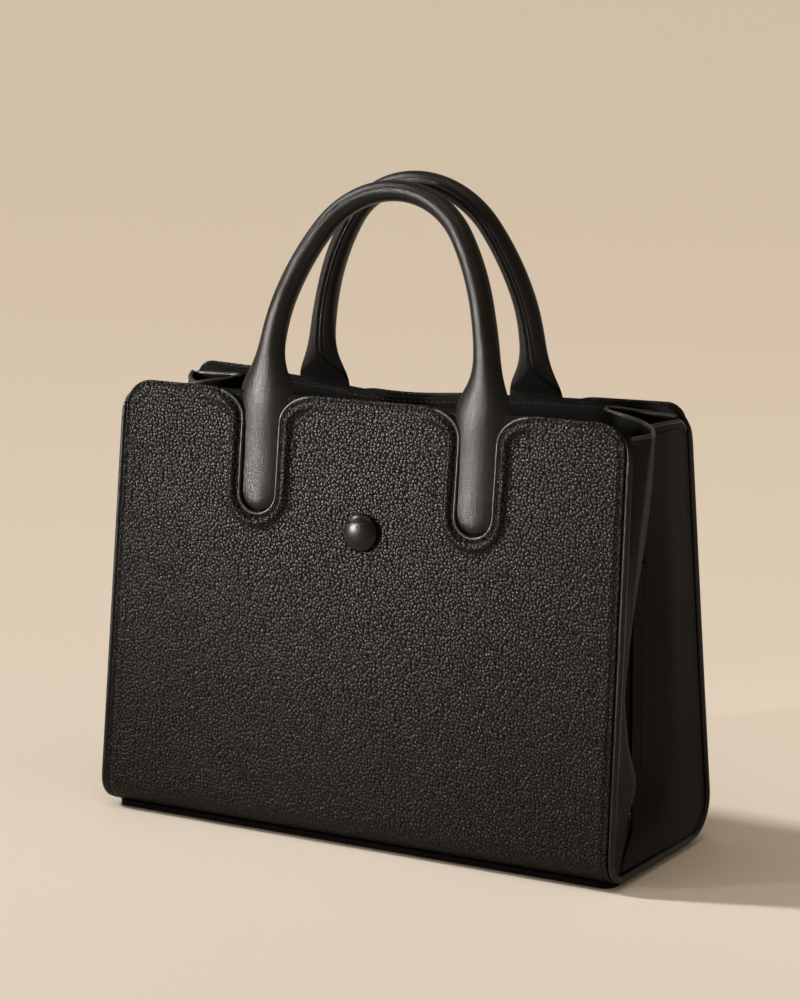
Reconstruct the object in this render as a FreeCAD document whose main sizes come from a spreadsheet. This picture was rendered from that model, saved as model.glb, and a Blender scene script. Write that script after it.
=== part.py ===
import FreeCAD, Part
import math
import os
import Sketcher

# Driving dimensions in millimetres, one cell each in the document's spreadsheet.
# Body of the bag: the base is wider and deeper than the mouth.
sizes = {
    "base_width": 300.0,
    "base_depth": 112.0,
    "mouth_width": 292.0,
    "mouth_depth": 69.0,
    "body_height": 225.5,
    "foot_height": 20.0,
    "hinge_gap": 0.8,
    # Layers of the front and back sides, from the outside in.
    "panel_thickness": 2.2,
    "underlay_thickness": 1.4,
    "lining_thickness": 0.8,
    "facing_thickness": 1.0,
    "facing_height": 32.0,
    "facing_inset": 12.0,
    "layer_step": 1.0,
    "panel_corner_radius": 13.0,
    # Cut-outs that frame the handle tabs.
    "handle_spacing": 125.0,
    "channel_width": 20.5,
    "channel_depth": 62.0,
    "channel_mouth_radius": 12.0,
    "tab_thickness": 1.8,
    "tab_clearance": 0.3,
    # Rolled handles: a hollow leather tube on a rope core, with flared feet.
    "handle_diameter": 11.6,
    "handle_wall": 2.2,
    "core_clearance": 0.2,
    "handle_rise": 100.5,
    "handle_crown_radius": 48.0,
    "handle_spring_height": 5.0,
    "handle_foot_gap": 5.0,
    "handle_inset": 4.0,
    "front_handle_lean": 9.5,
    "back_handle_lean": 1.0,
    "flare_width": 28.0,
    "flare_depth": 6.0,
    "flare_height": 28.0,
    "foot_roll_diameter": 6.6,
    # Stud riveted through the front side.
    "stud_diameter": 19.5,
    "stud_dome_height": 4.6,
    "stud_rim_height": 1.0,
    "stud_post_diameter": 4.0,
    "stud_height": 160.0,
    "rivet_clearance": 0.1,
    "washer_diameter": 10.0,
    # Base: a tray of leather on a thin sole, stiffened by a board.
    "sole_thickness": 3.0,
    "sole_side_inset": 5.0,
    "sole_front_inset": 8.0,
    "sole_corner_radius": 6.0,
    "base_edge_radius": 15.0,
    "base_thickness": 2.2,
    "board_thickness": 2.0,
    "board_end_inset": 4.0,
    # Piping on the seams between the sides, the base and the gussets.
    "piping_diameter": 3.4,
    "seam_gap": 0.2,
    # Folded gussets, each a front and a back half that meet at a crease.
    "gusset_thickness": 1.6,
    "gusset_drop": 5.5,
    "gusset_side_inset": 0.8,
    "gusset_clearance": 0.5,
    # Strip sewn over the lower part of each crease.
    "strip_width": 8.0,
    "strip_thickness": 1.2,
    "strip_length": 90.0,
    "strip_low_end": 47.0,
    "strip_clearance": 0.2,
}

doc = FreeCAD.newDocument("top_handle_bag")
sheet = doc.addObject("Spreadsheet::Sheet", "Sizes")
for row, (alias, value) in enumerate(sizes.items(), start=1):
    sheet.set(f"A{row}", alias)
    sheet.set(f"B{row}", str(value))
    sheet.setAlias(f"B{row}", alias)
doc.recompute()


def size(alias):
    return float(sheet.get(alias))


# How near two coordinates are to count as one when an edge is picked, and the frame's axes.
SAME_LINE = 1e-6
SAME_PLACE = 1e-4
X_AXIS = FreeCAD.Vector(1, 0, 0)
Y_AXIS = FreeCAD.Vector(0, 1, 0)
Z_AXIS = FreeCAD.Vector(0, 0, 1)

# Values that follow from the driving dimensions.
side_rise = size("body_height") - size("foot_height")
side_run = (size("base_depth") - size("mouth_depth")) / 2
side_slope = math.degrees(math.atan2(side_run, side_rise))
side_length = math.hypot(side_rise, side_run)
edge_margin = size("piping_diameter") + size("seam_gap")
half_span = size("handle_spacing") / 2
layer_depth = size("panel_thickness") + size("underlay_thickness") + size("lining_thickness")

# The same lengths as formulas for the bound properties.
SIDE_LENGTH = ("sqrt((Sizes.body_height - Sizes.foot_height)^2"
               " + ((Sizes.base_depth - Sizes.mouth_depth) / 2)^2)")
FOOT_WIDTH = "(Sizes.base_width - 2 * (Sizes.piping_diameter + Sizes.seam_gap))"
TOP_WIDTH = "(Sizes.mouth_width - 2 * (Sizes.piping_diameter + Sizes.seam_gap))"
foot_width = size("base_width") - 2 * edge_margin
top_width = size("mouth_width") - 2 * edge_margin

sub_parts = []


def turned(axis, angle):
    return FreeCAD.Placement(FreeCAD.Vector(), FreeCAD.Rotation(axis, angle))


def moved(x, y, z):
    return FreeCAD.Placement(FreeCAD.Vector(x, y, z), FreeCAD.Rotation())


def side_frame(face, up=0.0, depth=0.0):
    # x runs along the bag, y up the sloping side and z out of it; depth is measured in from its outer face.
    facing = turned(Z_AXIS, 0 if face == "front" else 180)
    foot = moved(0, -size("base_depth") / 2, size("foot_height"))
    return facing * foot * turned(X_AXIS, 90 - side_slope) * moved(0, up, -depth)


def new_body(label, placement=None):
    body = doc.addObject("PartDesign::Body", label)
    body.Label = label
    if placement is not None:
        body.Placement = placement
    sub_parts.append(body)
    return body


def new_sketch(body, role, name):
    sketch = body.newObject("Sketcher::SketchObject", name)
    plane = [part for part in body.Origin.OriginFeatures if part.Role == role][0]
    sketch.AttachmentSupport = (plane, [""])
    sketch.MapMode = "FlatFace"
    return sketch


def dimension(sketch, kind, places, value, formula):
    index = sketch.addConstraint(Sketcher.Constraint(kind, *places, value))
    sketch.setExpression(f"Constraints[{index}]", formula)


def add_pad(body, sketch, formula, inward=False):
    pad = body.newObject("PartDesign::Pad", sketch.Name + "_pad")
    pad.Profile = sketch
    pad.Reversed = inward
    pad.setExpression("Length", formula)
    doc.recompute()
    return pad


def add_pocket(body, sketch):
    before = body.Shape.Volume
    pocket = body.newObject("PartDesign::Pocket", sketch.Name + "_pocket")
    pocket.Profile = sketch
    pocket.Type = "ThroughAll"
    pocket.Midplane = True
    doc.recompute()
    if body.Shape.Volume >= before:
        raise RuntimeError(f"{pocket.Name} cuts nothing")
    return pocket


def add_fillet(body, base, edges, formula):
    fillet = body.newObject("PartDesign::Fillet", base.Name + "_fillet")
    fillet.Base = (base, edges)
    fillet.setExpression("Radius", formula)
    doc.recompute()
    return fillet


def edges_where(feature, test):
    shape = feature.Shape
    return [f"Edge{i}" for i, edge in enumerate(shape.Edges, start=1) if test(edge)]


def faces_where(feature, test):
    # Flat faces picked by their outward normal.
    names = []
    for i, face in enumerate(feature.Shape.Faces, start=1):
        if isinstance(face.Surface, Part.Plane) and test(face.normalAt(0, 0)):
            names.append(f"Face{i}")
    return names


def edges_across(feature, places):
    # Straight edges through the thickness of a plate, at the given points of its outline.
    def test(edge):
        a, b = edge.Vertexes[0].Point, edge.Vertexes[-1].Point
        upright = math.hypot(a.x - b.x, a.y - b.y) < SAME_LINE and abs(a.z - b.z) > SAME_LINE
        return upright and any(math.hypot(a.x - x, a.y - y) < SAME_PLACE for x, y in places)
    return edges_where(feature, test)


def trapezium(body, name, low, high):
    # Symmetric plate outline; low and high each give (width, height up the side) as (value, formula) pairs.
    sketch = new_sketch(body, "XY_Plane", name)
    (low_w, low_wf), (low_y, low_yf) = low
    (high_w, high_wf), (high_y, high_yf) = high
    corners = [(-low_w / 2, low_y), (low_w / 2, low_y), (high_w / 2, high_y), (-high_w / 2, high_y)]
    points = [FreeCAD.Vector(x, y, 0) for x, y in corners]
    for i in range(4):
        sketch.addGeometry(Part.LineSegment(points[i], points[(i + 1) % 4]), False)
    for i in range(4):
        sketch.addConstraint(Sketcher.Constraint("Coincident", i, 2, (i + 1) % 4, 1))
    sketch.addConstraint(Sketcher.Constraint("Symmetric", 0, 1, 0, 2, -2))
    sketch.addConstraint(Sketcher.Constraint("Symmetric", 2, 1, 2, 2, -2))
    dimension(sketch, "DistanceX", (0, 1, 0, 2), low_w, low_wf)
    dimension(sketch, "DistanceX", (2, 2, 2, 1), high_w, high_wf)
    dimension(sketch, "DistanceY", (-1, 1, 0, 1), low_y, low_yf)
    dimension(sketch, "DistanceY", (-1, 1, 2, 1), high_y, high_yf)
    return sketch


def rectangle(body, role, name, width, height, centre_y=(0.0, "0")):
    # Rectangle centred across the sketch; width, height and centre_y are (value, formula) pairs.
    sketch = new_sketch(body, role, name)
    half_w, half_h = width[0] / 2, height[0] / 2
    corners = [(-half_w, -half_h), (half_w, -half_h), (half_w, half_h), (-half_w, half_h)]
    points = [FreeCAD.Vector(x, y + centre_y[0], 0) for x, y in corners]
    for i in range(4):
        sketch.addGeometry(Part.LineSegment(points[i], points[(i + 1) % 4]), False)
    for i in range(4):
        sketch.addConstraint(Sketcher.Constraint("Coincident", i, 2, (i + 1) % 4, 1))
    sketch.addConstraint(Sketcher.Constraint("Symmetric", 0, 1, 0, 2, -2))
    sketch.addConstraint(Sketcher.Constraint("Symmetric", 2, 1, 2, 2, -2))
    dimension(sketch, "DistanceX", (0, 1, 0, 2), width[0], width[1])
    dimension(sketch, "DistanceX", (2, 2, 2, 1), width[0], width[1])
    dimension(sketch, "DistanceY", (1, 1, 1, 2), height[0], height[1])
    low = centre_y[0] - half_h
    dimension(sketch, "DistanceY", (-1, 1, 0, 1), low, f"{centre_y[1]} - ({height[1]}) / 2")
    return sketch


def tongue(sketch, side, radius, low, high):
    # Tongue with a round lower end, on the left (-1) or right (1) handle foot; each size is (value, formula).
    x, r, y0, y1 = side * half_span, radius[0], low[0] + radius[0], high[0]
    base = sketch.GeometryCount
    right, left, top, arc = base, base + 1, base + 2, base + 3
    sketch.addGeometry(Part.LineSegment(FreeCAD.Vector(x + r, y0, 0), FreeCAD.Vector(x + r, y1, 0)), False)
    sketch.addGeometry(Part.LineSegment(FreeCAD.Vector(x - r, y1, 0), FreeCAD.Vector(x - r, y0, 0)), False)
    sketch.addGeometry(Part.LineSegment(FreeCAD.Vector(x + r, y1, 0), FreeCAD.Vector(x - r, y1, 0)), False)
    round_end = Part.Circle(FreeCAD.Vector(x, y0, 0), Z_AXIS, r)
    sketch.addGeometry(Part.ArcOfCircle(round_end, math.pi, 2 * math.pi), False)
    sketch.addConstraint(Sketcher.Constraint("Coincident", right, 2, top, 1))
    sketch.addConstraint(Sketcher.Constraint("Coincident", top, 2, left, 1))
    sketch.addConstraint(Sketcher.Constraint("Tangent", left, 2, arc, 1))
    sketch.addConstraint(Sketcher.Constraint("Tangent", arc, 2, right, 1))
    sketch.addConstraint(Sketcher.Constraint("Vertical", right))
    sketch.addConstraint(Sketcher.Constraint("Horizontal", top))
    dimension(sketch, "Radius", (arc,), r, radius[1])
    ends = (-1, 1, arc, 3) if side > 0 else (arc, 3, -1, 1)
    dimension(sketch, "DistanceX", ends, half_span, "Sizes.handle_spacing / 2")
    dimension(sketch, "DistanceY", (-1, 1, arc, 3), y0, f"{low[1]} + {radius[1]}")
    dimension(sketch, "DistanceY", (-1, 1, right, 2), y1, high[1])


def side_plate(label, face, depth, thickness, step):
    # One full layer of a side; each inner layer stops a step short at the top.
    body = new_body(label, side_frame(face, depth=depth))
    low = ((foot_width, FOOT_WIDTH), (0.0, "0"))
    high = ((top_width, TOP_WIDTH), (side_length - step * size("layer_step"),
                                     f"{SIDE_LENGTH} - {step} * Sizes.layer_step"))
    sketch = trapezium(body, label + "_outline", low, high)
    pad = add_pad(body, sketch, f"Sizes.{thickness}", inward=True)
    corners = [(x * top_width / 2, high[1][0]) for x in (-1, 1)]
    add_fillet(body, pad, edges_across(pad, corners), "Sizes.panel_corner_radius")
    return body


def stud_hole(body, diameter):
    # Hole for the stud's post or washer, with the rivet clearance all round.
    sketch = new_sketch(body, "XY_Plane", body.Label + "_stud_hole")
    radius = size(diameter) / 2 + size("rivet_clearance")
    sketch.addGeometry(Part.Circle(FreeCAD.Vector(0, stud_up, 0), Z_AXIS, radius), False)
    sketch.addConstraint(Sketcher.Constraint("PointOnObject", 0, 3, -2))
    dimension(sketch, "Radius", (0,), radius, f"Sizes.{diameter} / 2 + Sizes.rivet_clearance")
    dimension(sketch, "DistanceY", (-1, 1, 0, 3), stud_up, STUD_UP)
    add_pocket(body, sketch)


STUD_UP = f"(Sizes.stud_height - Sizes.foot_height) / (Sizes.body_height - Sizes.foot_height) * {SIDE_LENGTH}"
stud_up = (size("stud_height") - size("foot_height")) / side_rise * side_length


# Front and back sides: outer panel with its cut-outs, underlay, lining, facing, tabs and edge piping.
def panel(face):
    body = side_plate(face + "_panel", face, 0.0, "panel_thickness", 0)
    sketch = new_sketch(body, "XY_Plane", face + "_channels")
    radius = (size("channel_width") / 2, "Sizes.channel_width / 2")
    low = (side_length - size("channel_depth"), f"{SIDE_LENGTH} - Sizes.channel_depth")
    high = (side_length + size("handle_foot_gap"), f"{SIDE_LENGTH} + Sizes.handle_foot_gap")
    for side in (-1, 1):
        tongue(sketch, side, radius, low, high)
    pocket = add_pocket(body, sketch)
    mouths = [(s * half_span + t * radius[0], side_length) for s in (-1, 1) for t in (-1, 1)]
    add_fillet(body, pocket, edges_across(pocket, mouths), "Sizes.channel_mouth_radius")
    return body


def underlay(face):
    return side_plate(face + "_underlay", face, size("panel_thickness"), "underlay_thickness", 1)


def lining(face):
    depth = size("panel_thickness") + size("underlay_thickness")
    return side_plate(face + "_lining", face, depth, "lining_thickness", 2)


def facing(face):
    body = new_body(face + "_facing", side_frame(face, depth=layer_depth))
    width = (top_width - 2 * size("facing_inset"), f"{TOP_WIDTH} - 2 * Sizes.facing_inset")
    height = (size("facing_height"), "Sizes.facing_height")
    middle = (side_length - 2 * size("layer_step") - height[0] / 2,
              f"{SIDE_LENGTH} - 2 * Sizes.layer_step - Sizes.facing_height / 2")
    sketch = rectangle(body, "XY_Plane", face + "_facing_outline", width, height, middle)
    add_pad(body, sketch, "Sizes.facing_thickness", inward=True)


def tab(face, name, side):
    depth = size("panel_thickness") - size("tab_thickness")
    body = new_body(f"{face}_tab_{name}", side_frame(face, depth=depth))
    sketch = new_sketch(body, "XY_Plane", body.Label + "_outline")
    radius = (size("channel_width") / 2 - size("tab_clearance"),
              "(Sizes.channel_width / 2 - Sizes.tab_clearance)")
    low = (side_length - size("channel_depth") + size("tab_clearance"),
           f"{SIDE_LENGTH} - Sizes.channel_depth + Sizes.tab_clearance")
    foot = size("handle_foot_gap") - size("foot_roll_diameter") / 2 - size("tab_clearance")
    high = (side_length + foot, f"{SIDE_LENGTH} + Sizes.handle_foot_gap"
                                " - Sizes.foot_roll_diameter / 2 - Sizes.tab_clearance")
    tongue(sketch, side, radius, low, high)
    add_pad(body, sketch, "Sizes.tab_thickness", inward=True)


def side_piping(face, name, side):
    # Straight run of piping along a side edge, from the foot to where the top corner starts to turn.
    lean = math.degrees(math.atan2((foot_width - top_width) / 2, side_length))
    out = foot_width / 2 + size("seam_gap") + size("piping_diameter") / 2
    piping = doc.addObject("Part::Cylinder", f"{face}_piping_{name}")
    piping.Label = piping.Name
    piping.setExpression("Radius", "Sizes.piping_diameter / 2")
    piping.setExpression("Height", f"{SIDE_LENGTH} - Sizes.panel_corner_radius - Sizes.hinge_gap")
    start = side_frame(face, up=size("hinge_gap") / 2, depth=size("panel_thickness"))
    piping.Placement = start * moved(side * out, 0, 0) * turned(Z_AXIS, side * lean) * turned(X_AXIS, -90)
    sub_parts.append(piping)


# Rolled handle on its own plane: origin midway between its feet on the axis it tilts about, y up the arch.
# Three-centred arch: a crown arc between two haunch arcs that spring upright from the handle's feet.
crown_radius = size("handle_crown_radius")
crown_height = size("handle_rise") - crown_radius
spring_height = size("handle_spring_height")
haunch_radius = ((half_span**2 + (crown_height - spring_height)**2 - crown_radius**2)
                 / (2 * (half_span - crown_radius)))
crown_turn = math.atan2(crown_height - spring_height, haunch_radius - half_span)


def handle_frame(face):
    start = side_frame(face, up=side_length + size("handle_foot_gap"), depth=size("handle_inset"))
    return start * turned(X_AXIS, -size(face + "_handle_lean"))


def haunch_section(height, radius):
    # Round section square to the right haunch, at the given height above the tilting axis.
    turn = math.asin((height - spring_height) / haunch_radius)
    centre = FreeCAD.Vector(half_span - haunch_radius + haunch_radius * math.cos(turn), height, 0)
    along = FreeCAD.Vector(-math.sin(turn), math.cos(turn), 0)
    return Part.Wire(Part.Circle(centre, along, radius).toShape())


def arch_tube(radius, low):
    start = math.asin((low - spring_height) / haunch_radius)
    crown = Part.Circle(FreeCAD.Vector(0, crown_height, 0), Z_AXIS, crown_radius)
    right = Part.Circle(FreeCAD.Vector(half_span - haunch_radius, spring_height, 0), Z_AXIS, haunch_radius)
    left = Part.Circle(FreeCAD.Vector(haunch_radius - half_span, spring_height, 0), Z_AXIS, haunch_radius)
    arcs = [Part.ArcOfCircle(right, start, crown_turn),
            Part.ArcOfCircle(crown, crown_turn, math.pi - crown_turn),
            Part.ArcOfCircle(left, math.pi - crown_turn, math.pi - start)]
    spine = Part.Wire([arc.toShape() for arc in arcs])
    return spine.makePipeShell([haunch_section(low, radius)], True, False)


def flare():
    # Right foot: from the round tube down to a flat oval, rounded about the axis that the handle tilts on.
    middle = FreeCAD.Vector(half_span, 0, 0)
    wide = middle + X_AXIS * (size("flare_width") / 2)
    deep = middle + Z_AXIS * (size("flare_depth") / 2)
    oval = Part.Wire(Part.Ellipse(wide, deep, middle).toShape())
    neck = Part.makeLoft([oval, haunch_section(size("flare_height"), size("handle_diameter") / 2)], True)
    roll = Part.makeCylinder(size("foot_roll_diameter") / 2, size("flare_width"),
                             middle - X_AXIS * (size("flare_width") / 2), X_AXIS)
    return [neck, roll]


def handle_piece(label, face, shape):
    piece = doc.addObject("Part::Feature", label)
    piece.Label = label
    piece.Shape = shape
    piece.Placement = handle_frame(face)
    sub_parts.append(piece)


def handle(face):
    # Hollow tube from one flare to the other, closed at the flares.
    radius, low = size("handle_diameter") / 2, size("flare_height")
    sleeve = arch_tube(radius, low).cut(arch_tube(radius - size("handle_wall"), low))
    right_foot = flare()
    left_foot = [solid.mirror(FreeCAD.Vector(), X_AXIS) for solid in right_foot]
    handle_piece(face + "_handle", face, sleeve.multiFuse(right_foot + left_foot))


def handle_core(face):
    radius = size("handle_diameter") / 2 - size("handle_wall") - size("core_clearance")
    rope = arch_tube(radius, size("flare_height") + size("core_clearance"))
    handle_piece(face + "_handle_core", face, rope)


# Stud: a dome with its post in one piece, and the washer that the post is riveted to.
def stud():
    body = new_body("stud", side_frame("front", up=stud_up))
    sketch = new_sketch(body, "XZ_Plane", "stud_profile")
    post, cap = size("stud_post_diameter") / 2, size("stud_diameter") / 2
    rim, dome = size("stud_rim_height"), size("stud_dome_height")
    bulge = ((cap**2 + (dome - rim)**2) / (2 * (dome - rim)))
    outline = [(0, dome), (0, -layer_depth), (post, -layer_depth), (post, 0), (cap, 0), (cap, rim)]
    points = [FreeCAD.Vector(x, y, 0) for x, y in outline]
    for a, b in zip(points, points[1:]):
        sketch.addGeometry(Part.LineSegment(a, b), False)
    crown = Part.Circle(FreeCAD.Vector(0, dome - bulge, 0), Z_AXIS, bulge)
    sketch.addGeometry(Part.ArcOfCircle(crown, math.acos(cap / bulge), math.pi / 2), False)
    for i in range(4):
        sketch.addConstraint(Sketcher.Constraint("Coincident", i, 2, i + 1, 1))
    sketch.addConstraint(Sketcher.Constraint("Coincident", 4, 2, 5, 1))
    sketch.addConstraint(Sketcher.Constraint("Coincident", 5, 2, 0, 1))
    sketch.addConstraint(Sketcher.Constraint("PointOnObject", 0, 1, -2))
    sketch.addConstraint(Sketcher.Constraint("PointOnObject", 0, 2, -2))
    sketch.addConstraint(Sketcher.Constraint("PointOnObject", 5, 3, -2))
    sketch.addConstraint(Sketcher.Constraint("PointOnObject", 2, 2, -1))
    for i in (1, 3):
        sketch.addConstraint(Sketcher.Constraint("Horizontal", i))
    for i in (2, 4):
        sketch.addConstraint(Sketcher.Constraint("Vertical", i))
    dimension(sketch, "DistanceY", (-1, 1, 0, 1), dome, "Sizes.stud_dome_height")
    dimension(sketch, "DistanceY", (-1, 1, 4, 2), rim, "Sizes.stud_rim_height")
    dimension(sketch, "DistanceX", (-1, 1, 2, 1), post, "Sizes.stud_post_diameter / 2")
    dimension(sketch, "DistanceX", (-1, 1, 4, 1), cap, "Sizes.stud_diameter / 2")
    dimension(sketch, "DistanceY", (0, 2, -1, 1), layer_depth,
              "Sizes.panel_thickness + Sizes.underlay_thickness + Sizes.lining_thickness")
    turn = body.newObject("PartDesign::Revolution", "stud_turned")
    turn.Profile = sketch
    turn.ReferenceAxis = (sketch, ["V_Axis"])
    turn.Angle = 360
    doc.recompute()


def stud_washer():
    depth = size("panel_thickness") + size("underlay_thickness")
    body = new_body("stud_washer", side_frame("front", up=stud_up, depth=depth))
    sketch = new_sketch(body, "XY_Plane", "stud_washer_outline")
    radii = [(size("washer_diameter") / 2, "Sizes.washer_diameter / 2"),
             (size("stud_post_diameter") / 2 + size("rivet_clearance"),
              "Sizes.stud_post_diameter / 2 + Sizes.rivet_clearance")]
    for i, (value, formula) in enumerate(radii):
        sketch.addGeometry(Part.Circle(FreeCAD.Vector(), Z_AXIS, value), False)
        sketch.addConstraint(Sketcher.Constraint("Coincident", i, 3, -1, 1))
        dimension(sketch, "Radius", (i,), value, formula)
    add_pad(body, sketch, "Sizes.lining_thickness", inward=True)


# Base: sole, leather tray with rounded long edges, stiffening board, lining and the piping round both ends.
TRAY_TOP = "(Sizes.foot_height - Sizes.hinge_gap)"
tray_top = size("foot_height") - size("hinge_gap")


def long_edges(feature, y, z):
    def test(edge):
        a, b = edge.Vertexes[0].Point, edge.Vertexes[-1].Point
        along = math.hypot(a.y - b.y, a.z - b.z) < SAME_LINE and abs(a.x - b.x) > SAME_LINE
        return along and abs(abs(a.y) - y) < SAME_PLACE and abs(a.z - z) < SAME_PLACE
    return edges_where(feature, test)


def base_panel():
    body = new_body("base_panel")
    low = size("sole_thickness")
    outer = rectangle(body, "YZ_Plane", "base_outer", (size("base_depth"), "Sizes.base_depth"),
                      (tray_top - low, f"{TRAY_TOP} - Sizes.sole_thickness"),
                      ((tray_top + low) / 2, f"({TRAY_TOP} + Sizes.sole_thickness) / 2"))
    pad = add_pad(body, outer, FOOT_WIDTH)
    pad.Midplane = True
    doc.recompute()
    rounded = add_fillet(body, pad, long_edges(pad, size("base_depth") / 2, low), "Sizes.base_edge_radius")
    open_faces = faces_where(rounded, lambda normal: abs(normal.x) > 0.5 or normal.z > 0.5)
    shell = body.newObject("PartDesign::Thickness", "base_shell")
    shell.Base = (rounded, open_faces)
    shell.Reversed = True
    shell.setExpression("Value", "Sizes.base_thickness")
    doc.recompute()


def sole():
    body = new_body("sole")
    width = (size("base_width") - 2 * size("sole_side_inset"), "Sizes.base_width - 2 * Sizes.sole_side_inset")
    depth = (size("base_depth") - 2 * size("sole_front_inset"),
             "Sizes.base_depth - 2 * Sizes.sole_front_inset")
    sketch = rectangle(body, "XY_Plane", "sole_outline", width, depth)
    pad = add_pad(body, sketch, "Sizes.sole_thickness")
    corners = [(x * width[0] / 2, y * depth[0] / 2) for x in (-1, 1) for y in (-1, 1)]
    add_fillet(body, pad, edges_across(pad, corners), "Sizes.sole_corner_radius")


def base_sheet(label, thickness, level):
    # Flat sheet on the level part of the tray's floor.
    box = doc.addObject("Part::Box", label)
    box.Label = label
    length = foot_width - 2 * size("board_end_inset")
    width = size("base_depth") - 2 * size("base_edge_radius")
    box.setExpression("Length", f"{FOOT_WIDTH} - 2 * Sizes.board_end_inset")
    box.setExpression("Width", "Sizes.base_depth - 2 * Sizes.base_edge_radius")
    box.setExpression("Height", f"Sizes.{thickness}")
    box.Placement = moved(-length / 2, -width / 2, level)
    sub_parts.append(box)


def base_piping(name, side):
    # Piping round one end of the tray, down its front, along its floor and up its back.
    r = size("piping_diameter") / 2
    out = foot_width / 2 + size("seam_gap") + r
    body = new_body(f"base_piping_{name}", moved(side * out, 0, 0))
    half_y, low, bend = size("base_depth") / 2 - r, size("sole_thickness") + r, size("base_edge_radius") - r
    spine = new_sketch(body, "YZ_Plane", body.Label + "_spine")
    corner = low + bend
    flat = half_y - bend
    for a, b in (((-half_y, tray_top), (-half_y, corner)), ((-flat, low), (flat, low)),
                 ((half_y, corner), (half_y, tray_top))):
        spine.addGeometry(Part.LineSegment(FreeCAD.Vector(*a, 0), FreeCAD.Vector(*b, 0)), False)
    for y, start in ((-flat, math.pi), (flat, 1.5 * math.pi)):
        circle = Part.Circle(FreeCAD.Vector(y, corner, 0), Z_AXIS, bend)
        spine.addGeometry(Part.ArcOfCircle(circle, start, start + math.pi / 2), False)
    spine.addConstraint(Sketcher.Constraint("Tangent", 0, 2, 3, 1))
    spine.addConstraint(Sketcher.Constraint("Tangent", 3, 2, 1, 1))
    spine.addConstraint(Sketcher.Constraint("Tangent", 1, 2, 4, 1))
    spine.addConstraint(Sketcher.Constraint("Tangent", 4, 2, 2, 1))
    spine.addConstraint(Sketcher.Constraint("Vertical", 0))
    spine.addConstraint(Sketcher.Constraint("Symmetric", 0, 1, 2, 2, -2))
    spine.addConstraint(Sketcher.Constraint("Symmetric", 1, 1, 1, 2, -2))
    spine.addConstraint(Sketcher.Constraint("Equal", 3, 4))
    dimension(spine, "Radius", (3,), bend, "Sizes.base_edge_radius - Sizes.piping_diameter / 2")
    dimension(spine, "DistanceX", (0, 1, 2, 2), 2 * half_y, "Sizes.base_depth - Sizes.piping_diameter")
    dimension(spine, "DistanceY", (-1, 1, 1, 1), low, "Sizes.sole_thickness + Sizes.piping_diameter / 2")
    dimension(spine, "DistanceY", (-1, 1, 0, 1), tray_top, TRAY_TOP)
    section = new_sketch(body, "XY_Plane", body.Label + "_section")
    section.AttachmentOffset = moved(0, 0, tray_top)
    section.setExpression("AttachmentOffset.Base.z", TRAY_TOP)
    section.addGeometry(Part.Circle(FreeCAD.Vector(0, -half_y, 0), Z_AXIS, r), False)
    section.addConstraint(Sketcher.Constraint("PointOnObject", 0, 3, -2))
    dimension(section, "Radius", (0,), r, "Sizes.piping_diameter / 2")
    dimension(section, "DistanceY", (0, 3, -1, 1), half_y, "(Sizes.base_depth - Sizes.piping_diameter) / 2")
    pipe = body.newObject("PartDesign::AdditivePipe", body.Label + "_pipe")
    pipe.Profile = section
    pipe.Spine = (spine, ["Edge1", "Edge2", "Edge3", "Edge4", "Edge5"])
    doc.recompute()


# Gussets: the front half swells out beside its seam and then runs in to a crease, which lies deep and far
# back at the mouth; the back half bows a little and ends beside the front half, so that the fold stays open.
gusset_low = (size("sole_thickness") + size("base_thickness") + size("board_thickness")
              + size("lining_thickness") + size("gusset_clearance"))
gusset_high = size("body_height") - size("gusset_drop")

# One row for each height, given as a share of the gusset's: how far the swell lies out and back from the
# seam, the crease in from the seam and back as a share of the seam's depth, the back half's bow in from the
# seam, and its end in from the seam and back as a share of the seam's depth.
fold_levels = [
    (0.0, -0.6, 6.0, 2.6, 0.0, 0.6, 2.1, 0.012),
    (0.075, -0.8, 12.0, 10.5, 0.0, 1.6, 10.0, 0.01),
    (0.18, 3.0, 16.0, 12.0, 0.0, 1.8, 11.5, 0.009),
    (0.4, 2.6, 8.0, 12.5, 0.036, 0.9, 11.9, 0.046),
    (0.62, 4.4, 9.0, 15.0, 0.155, 0.2, 11.4, 0.11),
    (1.0, 8.0, 13.5, 41.5, 0.83, -1.5, 2.7, -0.044),
]
# The front half's turn between its swell and the crease, and the back half's bow, as shares of the way.
TURN_IN, TURN_BACK = 0.38, 0.57
BOW_BACK = 0.43


def side_inner_y(z):
    # Distance of a side's inner face from the bag's middle plane at height z.
    along = size("base_depth") / 2 - (z - size("foot_height")) * math.tan(math.radians(side_slope))
    return along - layer_depth / math.cos(math.radians(side_slope))


def tray_inner_y(z):
    # Distance of the tray's inner wall from the middle plane at height z, on its rounded corner.
    bend = size("base_edge_radius") - size("base_thickness")
    drop = size("sole_thickness") + size("base_edge_radius") - z
    return size("base_depth") / 2 - size("base_edge_radius") + math.sqrt(bend**2 - max(drop, 0)**2)


def fold_row(share):
    # The fold's measures at any share of the height, straight between two rows.
    for low, high in zip(fold_levels, fold_levels[1:]):
        if share <= high[0] + SAME_LINE:
            part = (share - low[0]) / (high[0] - low[0])
            return [a + (b - a) * part for a, b in zip(low, high)]


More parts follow.
